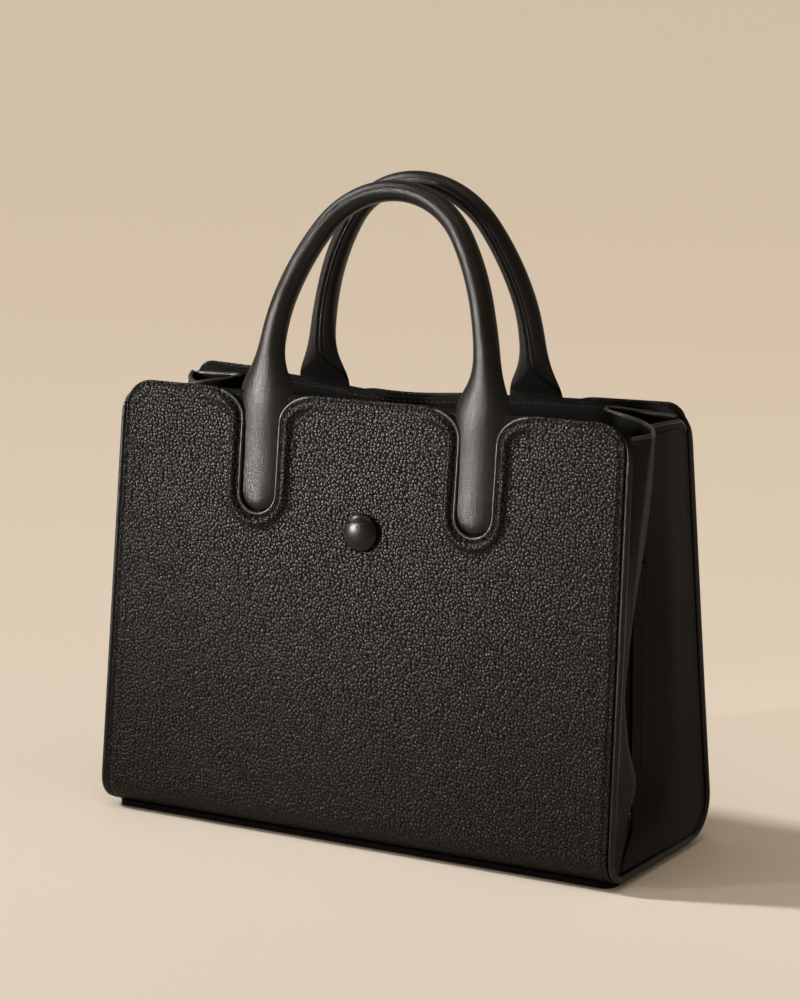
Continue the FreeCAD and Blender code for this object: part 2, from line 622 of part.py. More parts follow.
def fold_lines(z):
    # Outer lines of the right gusset's two halves in plan at height z, each from its seam to the fold.
    row = fold_row((z - gusset_low) / (gusset_high - gusset_low))
    share, swell_out, swell_back, crease_in, crease_back, bow_in, end_in, end_back = row
    taper = (foot_width - top_width) / 2 * max(z - size("foot_height"), 0) / side_rise
    seam_x = foot_width / 2 - taper - size("gusset_side_inset")
    wall = tray_inner_y(z) if z < size("foot_height") else side_inner_y(z)
    seam_y = wall - size("gusset_clearance")
    swell_x, swell_y = seam_x + swell_out, swell_back - seam_y
    crease_x, crease_y = seam_x - crease_in, seam_y * crease_back
    turn = (swell_x + (crease_x - swell_x) * TURN_IN, swell_y + (crease_y - swell_y) * TURN_BACK)
    front = [(seam_x, -seam_y), (swell_x, swell_y), turn, (crease_x, crease_y)]
    back = [(seam_x, seam_y), (seam_x - bow_in, seam_y * BOW_BACK), (seam_x - end_in, seam_y * end_back)]
    return front, back


def offset_line(line, turn, distance):
    # A bent line moved sideways: to its left for a turn of 1 and to its right for -1.
    normals = []
    for (x0, y0), (x1, y1) in zip(line, line[1:]):
        length = math.hypot(x1 - x0, y1 - y0)
        normals.append((-turn * (y1 - y0) / length, turn * (x1 - x0) / length))
    moved_line = []
    for i, (x, y) in enumerate(line):
        (ax, ay), (bx, by) = normals[max(i - 1, 0)], normals[min(i, len(normals) - 1)]
        reach = distance / (1 + ax * bx + ay * by)
        moved_line.append((x + (ax + bx) * reach, y + (ay + by) * reach))
    return moved_line


def sheet_wire(side, z, outer, inner):
    outline = outer + inner[::-1]
    return Part.makePolygon([FreeCAD.Vector(side * x, y, z) for x, y in outline + outline[:1]])


def loft_sheet(label, wires):
    sheet_part = doc.addObject("Part::Feature", label)
    sheet_part.Label = label
    sheet_part.Shape = Part.makeLoft(wires, True, True)
    sub_parts.append(sheet_part)


def gusset_half(name, side, half):
    # half is -1 for the front sheet and 1 for the back sheet.
    wires = []
    for row in fold_levels:
        z = gusset_low + (gusset_high - gusset_low) * row[0]
        line = fold_lines(z)[0 if half < 0 else 1]
        wires.append(sheet_wire(side, z, line, offset_line(line, -half, size("gusset_thickness"))))
    loft_sheet(f"{name}_gusset_{'front' if half < 0 else 'back'}", wires)


def crease_strip(name, side):
    # Strip on the outer face of the back half, beside its end in the fold.
    low, high = size("strip_low_end"), size("strip_low_end") + size("strip_length")
    levels = [gusset_low + (gusset_high - gusset_low) * row[0] for row in fold_levels]
    wires = []
    for z in [low] + [level for level in levels if low < level < high] + [high]:
        bow, end = fold_lines(z)[1][1:]
        length = math.dist(bow, end)
        reach = 1 - size("strip_width") / length
        begin = (bow[0] + (end[0] - bow[0]) * reach, bow[1] + (end[1] - bow[1]) * reach)
        inner = offset_line([begin, end], 1, size("strip_clearance"))
        wires.append(sheet_wire(side, z, offset_line(inner, 1, size("strip_thickness")), inner))
    loft_sheet(f"{name}_crease_strip", wires)


for face in ("front", "back"):
    outer_panel = panel(face)
    under = underlay(face)
    inner = lining(face)
    if face == "front":
        stud_hole(outer_panel, "stud_post_diameter")
        stud_hole(under, "stud_post_diameter")
        stud_hole(inner, "washer_diameter")
    facing(face)
    for name, side in (("left", -1), ("right", 1)):
        local_side = side if face == "front" else -side
        tab(face, name, local_side)
        side_piping(face, name, local_side)
    handle(face)
    handle_core(face)

stud()
stud_washer()
sole()
base_panel()
floor_level = size("sole_thickness") + size("base_thickness")
base_sheet("base_board", "board_thickness", floor_level)
base_sheet("base_lining", "lining_thickness", floor_level + size("board_thickness"))
for name, side in (("left", -1), ("right", 1)):
    base_piping(name, side)
    for half in (-1, 1):
        gusset_half(name, side, half)
    crease_strip(name, side)

doc.recompute()
for item in doc.Objects:
    if "Invalid" in item.State or "Error" in item.State:
        raise RuntimeError(f"{item.Label} failed: {item.State}")
for item in sub_parts:
    if item.Shape.isNull() or not item.Shape.isValid():
        raise RuntimeError(f"{item.Label} has no valid shape")

os.makedirs("parts", exist_ok=True)
for item in sub_parts:
    item.Shape.exportStep(f"parts/{item.Label}.step")
    box = item.Shape.BoundBox
    print(f"{item.Label}: {len(item.Shape.Solids)} solid, {item.Shape.Volume:.0f} mm3, "
          f"x {box.XMin:.1f}..{box.XMax:.1f} y {box.YMin:.1f}..{box.YMax:.1f} "
          f"z {box.ZMin:.1f}..{box.ZMax:.1f}")
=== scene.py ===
import bpy
import math
import numpy as np
from mathutils import Matrix, Vector
from mathutils.geometry import delaunay_2d_cdt


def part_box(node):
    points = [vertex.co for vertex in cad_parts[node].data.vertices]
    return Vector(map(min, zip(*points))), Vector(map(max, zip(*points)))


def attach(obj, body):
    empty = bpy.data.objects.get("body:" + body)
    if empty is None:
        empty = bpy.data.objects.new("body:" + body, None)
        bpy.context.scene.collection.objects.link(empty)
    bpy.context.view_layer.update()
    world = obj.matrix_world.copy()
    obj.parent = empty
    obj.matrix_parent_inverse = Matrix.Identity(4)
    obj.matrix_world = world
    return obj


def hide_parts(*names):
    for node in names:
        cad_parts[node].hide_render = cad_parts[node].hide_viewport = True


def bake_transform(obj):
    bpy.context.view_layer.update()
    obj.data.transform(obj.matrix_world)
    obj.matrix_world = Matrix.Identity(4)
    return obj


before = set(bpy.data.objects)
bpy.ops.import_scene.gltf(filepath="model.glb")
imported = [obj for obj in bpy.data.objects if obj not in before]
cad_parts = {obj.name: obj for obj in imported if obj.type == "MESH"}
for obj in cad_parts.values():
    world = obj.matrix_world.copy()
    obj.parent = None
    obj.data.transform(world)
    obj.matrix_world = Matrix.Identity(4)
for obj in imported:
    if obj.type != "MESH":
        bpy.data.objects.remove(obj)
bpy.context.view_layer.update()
mm = 0.001
tiny = 1e-6
print("frame loaded:", len(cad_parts), "nodes")

# Measures of the body, read from the frame where a node gives them
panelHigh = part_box("front_panel")[1]
pipeLow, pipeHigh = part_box("base_piping_right")
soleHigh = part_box("sole")[1]
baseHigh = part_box("base_panel")[1]
body = {
    "footHalf": panelHigh.x,  # half the panel's width at its foot
    "topHalf": panelHigh.x - 3 * mm,  # and at the mouth
    "height": panelHigh.z,
    "halfDepth": baseHigh.y,  # half the depth of the base
    "mouthHalfDepth": 34.5 * mm,
    "footHeight": 20 * mm,  # where the sides start to lean in
    "bottom": soleHigh.z,  # underside of the leather, on the sole
    "edgeRadius": 15 * mm,  # rounding of the long bottom edges, before they give
    "pipeRadius": (pipeHigh.x - pipeLow.x) / 2,
    "channelHalf": 10.25 * mm,  # the cut-outs that frame the handle tabs
    "channelDepth": 62 * mm,
    "legSpan": 62.5 * mm,  # handle legs, left and right of the middle
    "bendLow": 8 * mm,  # heights between which the foot gives when a side swings
    "bendHigh": 34 * mm,
}
slope = math.atan2(body["halfDepth"] - body["mouthHalfDepth"], body["height"] - body["footHeight"])
arcLength = body["edgeRadius"] * (slope + math.pi / 2)
sideFoot = body["bottom"] + body["edgeRadius"] * (1 + math.sin(slope))
sideLength = (body["height"] - sideFoot) / math.cos(slope)

# How each side gives: it leans and sags in at its mouth, its top edge dips and its bottom edge rounds
slack = {
    "front": {"turn": 1, "lean": 0.0, "sag": 4.2 * mm, "dip": 0.4 * mm, "rise": 0.0,
              "edge": 13 * mm, "ripple": 0.35 * mm},
    "back": {"turn": -1, "lean": 3.0 * mm, "sag": 1.8 * mm, "dip": 5.2 * mm, "rise": 1.9 * mm,
             "edge": 20 * mm, "ripple": 0.4 * mm},
}
wave = {"across": 31 * mm, "up": 43 * mm, "dipAt": -20 * mm, "dipWide": 50 * mm, "takeUp": 60 * mm}


def smoothStep(low, high, value):
    part = np.clip((np.asarray(value, float) - low) / (high - low), 0, 1)
    return part * part * (3 - 2 * part)


def unit(vectors):
    return vectors / np.linalg.norm(vectors, axis=-1, keepdims=True)


def cubic(part, span, first, last, firstSlope, lastSlope):
    # Between two values, with the slopes given there
    start = (1 + 2 * part) * (1 - part) ** 2 * first + part * (1 - part) ** 2 * span * firstSlope
    end = part ** 2 * (3 - 2 * part) * last - part ** 2 * (1 - part) * span * lastSlope
    return start + end


def smoothCurve(keys, values, where):
    # Curve through the values given at the keys
    keys = np.asarray(keys, float)
    values = np.asarray(values, float)
    where = np.clip(np.asarray(where, float), keys[0], keys[-1])
    slopes = np.gradient(values, keys, axis=0)
    index = np.clip(np.searchsorted(keys, where, side="right") - 1, 0, len(keys) - 2)
    span = keys[index + 1] - keys[index]
    part = (where - keys[index]) / span
    if values.ndim > 1:
        span, part = span[..., None], part[..., None]
    return cubic(part, span, values[index], values[index + 1], slopes[index], slopes[index + 1])


def runLength(line):
    return np.concatenate([[0], np.cumsum(np.linalg.norm(np.diff(line, axis=0), axis=1))])


def placesAlong(line, marks):
    reach = runLength(line)
    return np.stack([np.interp(marks, reach, column) for column in line.T], axis=1)


def halfWidth(v):
    return body["footHalf"] + (body["topHalf"] - body["footHalf"]) * np.clip(v / sideLength, 0, 1)


def sidePoints(face, u, v, w):
    # A side's leather: u across, v up from the foot (below it, round the edge and under), w out of the face
    u, v, w = (np.array(a, float) for a in np.broadcast_arrays(u, v, w))
    give = slack[face]
    across = np.cos(np.clip(u / body["topHalf"], -1, 1) * math.pi / 2)
    up = np.clip(v / sideLength, 0, 1.02)
    ripple = np.sin(u / wave["across"] + 0.7) * np.sin(v / wave["up"] + 0.4) * give["ripple"]
    sunk = give["lean"] * up + give["sag"] * across ** 1.3 * up ** 1.4
    w = w - sunk + ripple * np.sqrt(across * up + tiny)
    lift = give["rise"] * np.clip(u / body["topHalf"], -1, 1) ** 2
    dip = give["dip"] * np.exp(-((u - wave["dipAt"]) / wave["dipWide"]) ** 2)
    v = v + (lift - dip) * smoothStep(0.35, 1, up)
    radius = give["edge"]
    foot = body["bottom"] + radius * (1 + math.sin(slope))
    longer = (body["height"] - foot) / math.cos(slope) - sideLength
    turn = np.where(v >= 0, slope, slope + np.maximum(v / arcLength, -1) * (slope + math.pi / 2))
    along = np.where(v >= 0, v + longer * np.clip(v / wave["takeUp"], 0, 1), 0)
    under = np.maximum(-v - arcLength, 0)
    y = radius * (1 - np.cos(turn)) - body["halfDepth"] + along * math.sin(slope) + under - np.cos(turn) * w
    z = body["bottom"] + radius * (1 + np.sin(turn)) + along * math.cos(slope) + np.sin(turn) * w
    return np.stack([u, y * give["turn"], z], axis=-1)


def roundedPath(corners, spacing):
    # Closed line through corners (x, y, cut before, cut after), each rounded by a quarter ellipse
    places = np.array([corner[:2] for corner in corners], float)
    line = []
    for i, corner in enumerate(places):
        before, after = corners[i][2:]
        start = corner + unit(places[i - 1] - corner) * before
        end = corner + unit(places[(i + 1) % len(places)] - corner) * after
        for angle in np.linspace(0, math.pi / 2, 25):
            line.append(start + (corner - start) * math.sin(angle) + (end - corner) * (1 - math.cos(angle)))
    line = np.array(line + line[:1])
    whole = runLength(line)[-1]
    return placesAlong(line, np.linspace(0, whole, int(whole / spacing), endpoint=False))


def inwardNormals(path):
    # The path runs clockwise, so its inside is on the right
    along = unit(np.roll(path, -1, axis=0) - np.roll(path, 1, axis=0))
    return np.stack([along[:, 1], -along[:, 0]], axis=1)


def nearest(points, path):
    # Distance from each point to the path, and the index of the nearest place on it
    gaps = np.linalg.norm(points[:, None, :] - path[None, :, :], axis=2)
    index = gaps.argmin(axis=1)
    return gaps[np.arange(len(points)), index], index


def fillLoop(loop, spacing):
    # Triangles inside a closed flat loop, with even points between; the loop's points come first
    low, high = loop.min(axis=0), loop.max(axis=0)
    columns = np.arange(low[0], high[0], spacing)
    rows = np.arange(low[1], high[1], spacing * 0.866)
    grid = np.array([(x + (j % 2) * spacing / 2, y) for j, y in enumerate(rows) for x in columns])
    ahead = np.roll(loop, -1, axis=0)
    inside = np.zeros(len(grid), bool)
    for a, b in zip(loop, ahead):
        crosses = (a[1] > grid[:, 1]) != (b[1] > grid[:, 1])
        where = a[0] + (grid[:, 1] - a[1]) * (b[0] - a[0]) / (b[1] - a[1] if b[1] != a[1] else tiny)
        inside ^= crosses & (grid[:, 0] < where)
    grid = grid[inside]
    grid = grid[nearest(grid, loop)[0] > spacing * 0.55]
    points = [Vector(p) for p in np.concatenate([loop, grid])]
    result = delaunay_2d_cdt(points, [], [list(range(len(loop)))], 1, tiny)
    return np.array([list(p) for p in result[0]]), [list(face) for face in result[2]]


def newMesh(name, points, faces):
    mesh = bpy.data.meshes.new(name)
    mesh.from_pydata([tuple(p) for p in points], [], faces)
    mesh.update()
    piece = bpy.data.objects.new(name, mesh)
    bpy.context.scene.collection.objects.link(piece)
    return piece


def chosen(piece):
    bpy.ops.object.select_all(action="DESELECT")
    piece.select_set(True)
    bpy.context.view_layer.objects.active = piece


def mend(piece, gap=0.01 * mm, angle=40):
    # Merge doubles, turn the faces outwards and smooth all but the sharp edges
    chosen(piece)
    bpy.ops.object.mode_set(mode="EDIT")
    bpy.ops.mesh.select_all(action="SELECT")
    bpy.ops.mesh.remove_doubles(threshold=gap)
    bpy.ops.mesh.normals_make_consistent(inside=False)
    bpy.ops.object.mode_set(mode="OBJECT")
    bpy.ops.object.shade_smooth_by_angle(angle=math.radians(angle))


def modify(piece, kind, **settings):
    chosen(piece)
    modifier = piece.modifiers.new(kind.title(), kind)
    for key, value in settings.items():
        setattr(modifier, key, value)
    bpy.ops.object.modifier_apply(modifier=modifier.name)


def primitive(name, add, **settings):
    # One of Blender's own objects, under the piece's name
    bpy.ops.object.select_all(action="DESELECT")
    add(**settings)
    piece = bpy.context.object
    piece.name = name
    piece.data.name = name
    return piece


def thicken(piece, thick, bevel=0.0, segments=3):
    # A sheet gets its thickness, half to each side, and rounded edges where a bevel is given
    mend(piece)
    modify(piece, "SOLIDIFY", thickness=thick, offset=0)
    if bevel:
        sharp = math.radians(50)
        modify(piece, "BEVEL", width=bevel, segments=segments, limit_method="ANGLE", angle_limit=sharp)
    mend(piece, gap=tiny, angle=50 if bevel else 40)


def gridPiece(name, columns, rows, place):
    # A grid whose points are laid out by place(s, t), both from 0 to 1
    sizes = {"x_subdivisions": columns, "y_subdivisions": rows, "size": 1}
    piece = primitive(name, bpy.ops.mesh.primitive_grid_add, **sizes)
    points = np.zeros(len(piece.data.vertices) * 3)
    piece.data.vertices.foreach_get("co", points)
    points = points.reshape(-1, 3) + 0.5
    piece.data.vertices.foreach_set("co", place(points[:, 0], points[:, 1]).ravel())
    piece.data.update()
    return piece


def tube(name, line, radii, around):
    # A round tube along a line, closed at both ends
    askew = np.array([0.31, 0.17, 0.94])  # no tube runs this way
    along = unit(np.gradient(line, axis=0))
    side = unit(np.cross(along, askew))
    up = np.cross(side, along)
    rows = len(line) - 1

    def place(s, t):
        row = np.rint(t * rows).astype(int)
        angle = (s * 2 * math.pi)[:, None]
        return line[row] + (side[row] * np.cos(angle) + up[row] * np.sin(angle)) * radii[row][:, None]

    piece = gridPiece(name, around, rows, place)
    mend(piece, gap=0.002 * mm, angle=70)
    return piece


def dress(piece, material, slot, ridesOn=None, replaced=()):
    if not piece.data.materials:
        piece.data.materials.append(material)
    if ridesOn:
        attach(piece, ridesOn)
    if replaced:
        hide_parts(*replaced)


def bendAtFoot(piece):
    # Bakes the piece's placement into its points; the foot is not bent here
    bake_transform(piece)


# Shader maths: a socket with operators, and one method for every other node
class Wire:
    def __init__(self, tree, link):
        self.tree = tree
        self.link = link

    def node(self, kind, settings=None, sockets=None, out=0):
        made = self.tree.nodes.new(kind)
        for name, value in (settings or {}).items():
            if name == "stops":
                for i, (place, shade) in enumerate(value):
                    stop = made.color_ramp.elements[i] if i < 2 else made.color_ramp.elements.new(place)
                    stop.position = place
                    stop.color = (shade, shade, shade, 1)
            else:
                setattr(made, name, value)
        for name, value in (sockets or {}).items():
            if isinstance(value, Wire):
                self.tree.links.new(value.link, made.inputs[name])
            else:
                made.inputs[name].default_value = value
        return Wire(self.tree, made.outputs[out])

    def maths(self, operation, first, second):
        return self.node("ShaderNodeMath", {"operation": operation}, {0: first, 1: second})

    def __add__(self, other):
        return self.maths("ADD", self, other)

    def __radd__(self, other):
        return self.maths("ADD", other, self)

    def __sub__(self, other):
        return self.maths("SUBTRACT", self, other)

    def __rsub__(self, other):
        return self.maths("SUBTRACT", other, self)

    def __mul__(self, other):
        return self.maths("MULTIPLY", self, other)

    def __rmul__(self, other):
        return self.maths("MULTIPLY", other, self)


def startMaterial(name):
    material = bpy.data.materials.new(name)
    material.use_nodes = True
    tree = material.node_tree
    shader = tree.nodes["Principled BSDF"]
    place = Wire(tree, tree.nodes.new("ShaderNodeTexCoord").outputs["Object"])
    return material, shader, place


def noise(place, scale, detail=2.0, roughness=0.5):
    sockets = {"Vector": place, "Scale": scale, "Detail": detail, "Roughness": roughness}
    return place.node("ShaderNodeTexNoise", {}, sockets)


def ribs(place, direction, scale, distortion=0.0):
    sockets = {"Vector": place, "Scale": scale, "Distortion": distortion}
    return place.node("ShaderNodeTexWave", {"bands_direction": direction}, sockets, out=1)


def warped(place, scale, amount):
    # The place moved about by a noise, so that cells lose their even look
    sockets = {"Vector": place, "Scale": scale, "Detail": 1.0}
    wander = place.node("ShaderNodeTexNoise", {}, sockets, out=1)
    wander = place.node("ShaderNodeVectorMath", {"operation": "SUBTRACT"}, {0: wander, 1: (0.5, 0.5, 0.5)})
    wander = place.node("ShaderNodeVectorMath", {"operation": "SCALE"}, {0: wander, "Scale": amount})
    return place.node("ShaderNodeVectorMath", {"operation": "ADD"}, {0: place, 1: wander})


def ramp(value, stops):
    return value.node("ShaderNodeValToRGB", {"stops": stops}, {"Fac": value})


def blendColour(factor, low, high):
    sockets = {"Factor": factor, 6: (*low, 1), 7: (*high, 1)}
    return factor.node("ShaderNodeMix", {"data_type": "RGBA"}, sockets, out=2)


def finishMaterial(shader, colour, roughness, height=None, depth=0.0, strength=1.0, shine=0.5):
    tree = shader.id_data
    tree.links.new(colour.link, shader.inputs["Base Color"])
    tree.links.new(roughness.link, shader.inputs["Roughness"])
    shader.inputs["Specular IOR Level"].default_value = shine
    if height is not None:
        sockets = {"Height": height, "Distance": depth, "Strength": strength}
        bump = height.node("ShaderNodeBump", {}, sockets)
        tree.links.new(bump.link, shader.inputs["Normal"])


def pebbledLeather():
    # Drummed hide: low domed pebbles a millimetre or two across, with painted shade in the creases between
    grain = {"cell": 1.65 * mm, "bend": 2.4 * mm, "stray": 1.0 * mm, "fine": 0.4 * mm, "patch": 30 * mm,
             "rise": 0.31 * mm, "turnIn": 30 * mm, "turnOver": 10 * mm}
    material, shader, place = startMaterial("pebbledLeather")
    tree = material.node_tree
    bent = warped(place, 1 / grain["bend"], grain["stray"])
    split = place.node("ShaderNodeSeparateXYZ", {}, {0: bent}).link.node.outputs
    across, inward, up = [Wire(tree, socket) for socket in split]
    under = ramp((grain["turnIn"] - up) * (1 / grain["turnOver"]), [(0.0, 0.0), (1.0, 1.0)])
    rolled = (inward.maths("ABSOLUTE", inward, 0.0) - body["halfDepth"]) * under  # turns in below the foot
    laid = place.node("ShaderNodeCombineXYZ", {}, {0: across, 1: up + rolled})
    sockets = {"Vector": laid, "Scale": 1 / grain["cell"], "Randomness": 1.0}
    flat = {"voronoi_dimensions": "2D"}
    domed = {**sockets, "Smoothness": 0.16}
    away = place.node("ShaderNodeTexVoronoi", {**flat, "feature": "SMOOTH_F1"}, domed)
    crease = place.node("ShaderNodeTexVoronoi", {**flat, "feature": "DISTANCE_TO_EDGE"}, sockets)
    patch = noise(place, 1 / grain["patch"], 2.0)
    fine = noise(place, 1 / grain["fine"], 2.0, 0.6)
    height = 1.0 - 2.2 * away * away + fine * 0.1
    raised = ramp(crease, [(0.0, 0.0), (0.19, 1.0), (0.065, 0.08)])
    # painted shade: the creases darken the colour, mixed with a random tone over wide patches
    colour = blendColour(raised * 0.6 + patch * 0.4, (0.0008, 0.0007, 0.0005), (0.006, 0.0054, 0.0044))
    roughness = 0.345 + 0.1 * patch + 0.04 * fine
    finishMaterial(shader, colour, roughness, height, grain["rise"], shine=0.28)
    # painted shade in the creases: a dark, rough shader that barely reflects, mixed in where the pebbles
    # meet
    sockets = {"Base Color": (0.0006, 0.0005, 0.0004, 1), "Roughness": 0.9, "Specular IOR Level": 0.03}
    creaseShadeShader = place.node("ShaderNodeBsdfPrincipled", {}, sockets)
    both = place.node("ShaderNodeMixShader", {}, {0: raised, 1: creaseShadeShader, 2: Wire(tree, shader.outputs[0])})
    tree.links.new(both.link, tree.nodes["Material Output"].inputs["Surface"])
    return material


def smoothLeather(name, low, high, gloss, deep, cell, shine):
    # Dressed hide with a fine short grain and faint pull lines
    grain = {"cell": 1 / cell, "fine": 1 / (0.16 * mm), "patch": 1 / (25 * mm)}
    material, shader, place = startMaterial(name)
    bent = warped(place, 0.6 / cell, 0.7 * cell)
    settings = {"feature": "DISTANCE_TO_EDGE"}
    crease = place.node("ShaderNodeTexVoronoi", settings, {"Vector": bent, "Scale": grain["cell"]})
    pebble = ramp(crease, [(0.0, 0.0), (0.35, 1.0)])
    patch = noise(place, grain["patch"], 4.0, 0.6)
    fine = noise(place, grain["fine"], 2.0)
    height = pebble * 0.5 + fine * 0.35 + patch * 0.3
    colour = blendColour(patch * 0.8 + pebble * 0.25, low, high)
    roughness = gloss + 0.12 * patch + 0.06 * fine
    finishMaterial(shader, colour, roughness, height, deep, 0.8, shine)
    return material


def liningCloth():
    # Close black twill: two sets of slanting ribs
    material, shader, place = startMaterial("liningCloth")
    rib = ribs(place, "DIAGONAL", 380.0, 0.6)
    cross = ribs(place, "Z", 520.0)
    fuzz = noise(place, 1 / (0.5 * mm), 3.0)
    height = rib * 0.6 + cross * 0.3 + fuzz * 0.4
    colour = blendColour(fuzz, (0.0012, 0.0011, 0.001), (0.004, 0.0036, 0.0032))
    roughness = 0.78 + 0.15 * fuzz
    finishMaterial(shader, colour, roughness, height, 0.12 * mm, 0.7, 0.15)
    return material


def waxedThread():
    # Two plies that twist along the thread
    material, shader, place = startMaterial("waxedThread")
    ply = ribs(place, "DIAGONAL", 700.0)
    colour = blendColour(ply, (0.002, 0.0018, 0.0015), (0.009, 0.008, 0.0068))
    roughness = 0.42 + 0.2 * ply
    finishMaterial(shader, colour, roughness, ply, 0.08 * mm, 0.6, 0.2)
    return material


def blackMetal():
    # Satin lacquer with fine wear
    material, shader, place = startMaterial("blackMetal")
    wear = noise(place, 1 / (1.1 * mm), 4.0, 0.65)
    cloud = noise(place, 1 / (6 * mm), 2.0)
    colour = blendColour(wear * 0.5 + cloud * 0.4, (0.0014, 0.0012, 0.001), (0.0045, 0.004, 0.0036))
    roughness = 0.24 + 0.10 * cloud + 0.05 * wear
    finishMaterial(shader, colour, roughness, wear, 0.02 * mm, 0.35, 0.25)
    return material


def fibreBoard():
    material, shader, place = startMaterial("fibreBoard")
    fibre = noise(place, 1 / (0.8 * mm), 5.0, 0.7)
    colour = blendColour(fibre, (0.10, 0.085, 0.07), (0.19, 0.165, 0.14))
    finishMaterial(shader, colour, 0.8 + 0.1 * fibre, fibre, 0.1 * mm, 0.6)
    return material


def ropeCore():
    material, shader, place = startMaterial("ropeCore")
    lay = ribs(place, "DIAGONAL", 160.0)
    colour = blendColour(lay, (0.30, 0.26, 0.20), (0.48, 0.43, 0.35))
    finishMaterial(shader, colour, 0.75 + 0.15 * lay, lay, 0.4 * mm, 0.8)
    return material


# Darkest and lightest colour, lowest roughness, depth and cell of the grain, and specular level
hides = {
    "handleHide": {"low": (0.002, 0.0018, 0.0014), "high": (0.006, 0.0055, 0.0046), "gloss": 0.24,
                   "deep": 0.12 * mm, "cell": 0.9 * mm, "shine": 0.255},
    "gussetHide": {"low": (0.002, 0.0016, 0.0011), "high": (0.0075, 0.0062, 0.0046), "gloss": 0.5,
                   "deep": 0.22 * mm, "cell": 1.3 * mm, "shine": 0.17},
    # painted shade: the facing hide is darker and reflects less than the outer hides, so the inside of the
    # bag reads dark
    "paintedShadeFacingHide": {"low": (0.0006, 0.0005, 0.0004), "high": (0.0018, 0.0016, 0.0013), "gloss": 0.65,
                   "deep": 0.06 * mm, "cell": 0.6 * mm, "shine": 0.07},
    "edgePaint": {"low": (0.006, 0.0055, 0.0048), "high": (0.018, 0.0165, 0.0145), "gloss": 0.3,
                  "deep": 0.02 * mm, "cell": 0.9 * mm, "shine": 0.5},
}
pebbled = pebbledLeather()
handleHide, gussetHide, paintedShadeFacingHide, edgePaint = [smoothLeather(name, **look) for name, look in hides.items()]
cloth = liningCloth()
thread = waxedThread()
metal = blackMetal()
board = fibreBoard()
rope = ropeCore()
print("materials made")


# Stitches: one small bead of thread, copied along a seam
stitch = {"length": 2.6 * mm, "radius": 0.36 * mm, "pitch": 3.3 * mm}


def stitchBead():
    bead = primitive("bead", bpy.ops.mesh.primitive_uv_sphere_add, segments=6, ring_count=5, radius=1)
    bpy.ops.object.mode_set(mode="EDIT")
    bpy.ops.transform.rotate(value=math.pi / 2, orient_axis="Y", center_override=(0, 0, 0))
    bpy.ops.transform.resize(value=(stitch["length"] / 2, stitch["radius"], stitch["radius"]))
    bpy.ops.object.mode_set(mode="OBJECT")
    points = np.array([v.co for v in bead.data.vertices])
    faces = [list(p.vertices) for p in bead.data.polygons]
    bpy.data.objects.remove(bead)
    return points, faces


beadPoints, beadFaces = stitchBead()


def sew(name, places, along, out):
    # A seam of beads at the places, each laid along the seam and raised out of the surface
    along = unit(along)
    across = unit(np.cross(out, along))
    out = unit(np.cross(along, across))
    points = []
    faces = []
    for spot, x, y, z in zip(places, along, across, out):
        first = len(points)
        points.extend(spot + beadPoints @ np.array([x, y, z]))
        faces.extend([[first + i for i in face] for face in beadFaces])
    seam = newMesh(name, points, faces)
    mend(seam, gap=tiny, angle=80)
    return seam


def evenly(line, pitch):
    # Places at a steady pitch along an open line
    return placesAlong(line, np.arange(pitch / 2, runLength(line)[-1], pitch))


def sewOnSide(name, face, line, level):
    # A seam that follows a flat (u, v) line on a side's surface
    probe = 0.2 * mm
    spots = evenly(line, stitch["pitch"])
    ahead = spots + unit(np.gradient(spots, axis=0)) * probe
    places = sidePoints(face, *spots.T, level)
    along = sidePoints(face, *ahead.T, level) - places
    out = sidePoints(face, *spots.T, level + probe) - places
    return sew(name, places, along, out)


# Panels: pebbled leather from under the base up to the mouth, cut away round the handle tabs
panel = {
    "spacing": 1.6 * mm,
    "fill": 3.6 * mm,
    "under": 6 * mm,  # how far it runs in under the base
    "corner": {"front": 14 * mm, "back": 10 * mm},
    "mouthWide": 22 * mm,  # easing of the cut-outs into the top edge
    "mouthHigh": 15 * mm,
    "welt": 36 * mm,  # reach of the raised welt beside each tab
    "weltDeep": 80 * mm,
    # in from the edge: height of the plain turned edge, and of the welt round a tab
    "profile": [(0.5, -2.1, -2.1), (0.0, -1.6, -1.6), (-0.15, -0.9, -0.9), (0.0, -0.25, -0.2),
                (0.35, 0.10, 0.2), (0.8, 0.16, 0.25), (1.25, 0.06, 0.0), (1.7, -0.32, -0.6),
                (2.2, -0.36, -0.65), (2.7, -0.1, -0.2), (3.3, 0.14, 0.7), (4.2, 0.30, 1.5),
                (5.2, 0.30, 1.75), (6.2, 0.16, 1.3), (7.2, 0.02, 0.3), (8.2, 0.0, -0.6)],
    "settle": 14 * mm,  # where the valley beside the welt has levelled out
    "seam": 1.95 * mm,  # stitch line, in from the edge
    "seamLevel": -0.22 * mm,
}


def panelCorners(face):
    cuts = []
    half, deep = body["channelHalf"], sideLength - body["channelDepth"]
    for middle in (-body["legSpan"], body["legSpan"]):
        cuts += [(middle - half, sideLength, panel["mouthWide"], panel["mouthHigh"]),
                 (middle - half, deep, half, half),
                 (middle + half, deep, half, half),
                 (middle + half, sideLength, panel["mouthHigh"], panel["mouthWide"])]
    low = -arcLength - panel["under"]
    small, corner = 4 * mm, panel["corner"][face]
    foot, top = body["footHalf"], body["topHalf"]
    return [(-foot, low, small, small), (-foot, 0, small, small), (-top, sideLength, corner, corner), *cuts,
            (top, sideLength, corner, corner), (foot, 0, small, small), (foot, low, small, small)]


def weltShare(points):
    beside = np.abs(np.abs(points[:, 0]) - body["legSpan"])
    share = 1 - smoothStep(panel["welt"] * 0.5, panel["welt"], beside)
    low = sideLength - panel["weltDeep"]
    return share * smoothStep(low - panel["weltDeep"] * 0.2, low, points[:, 1])


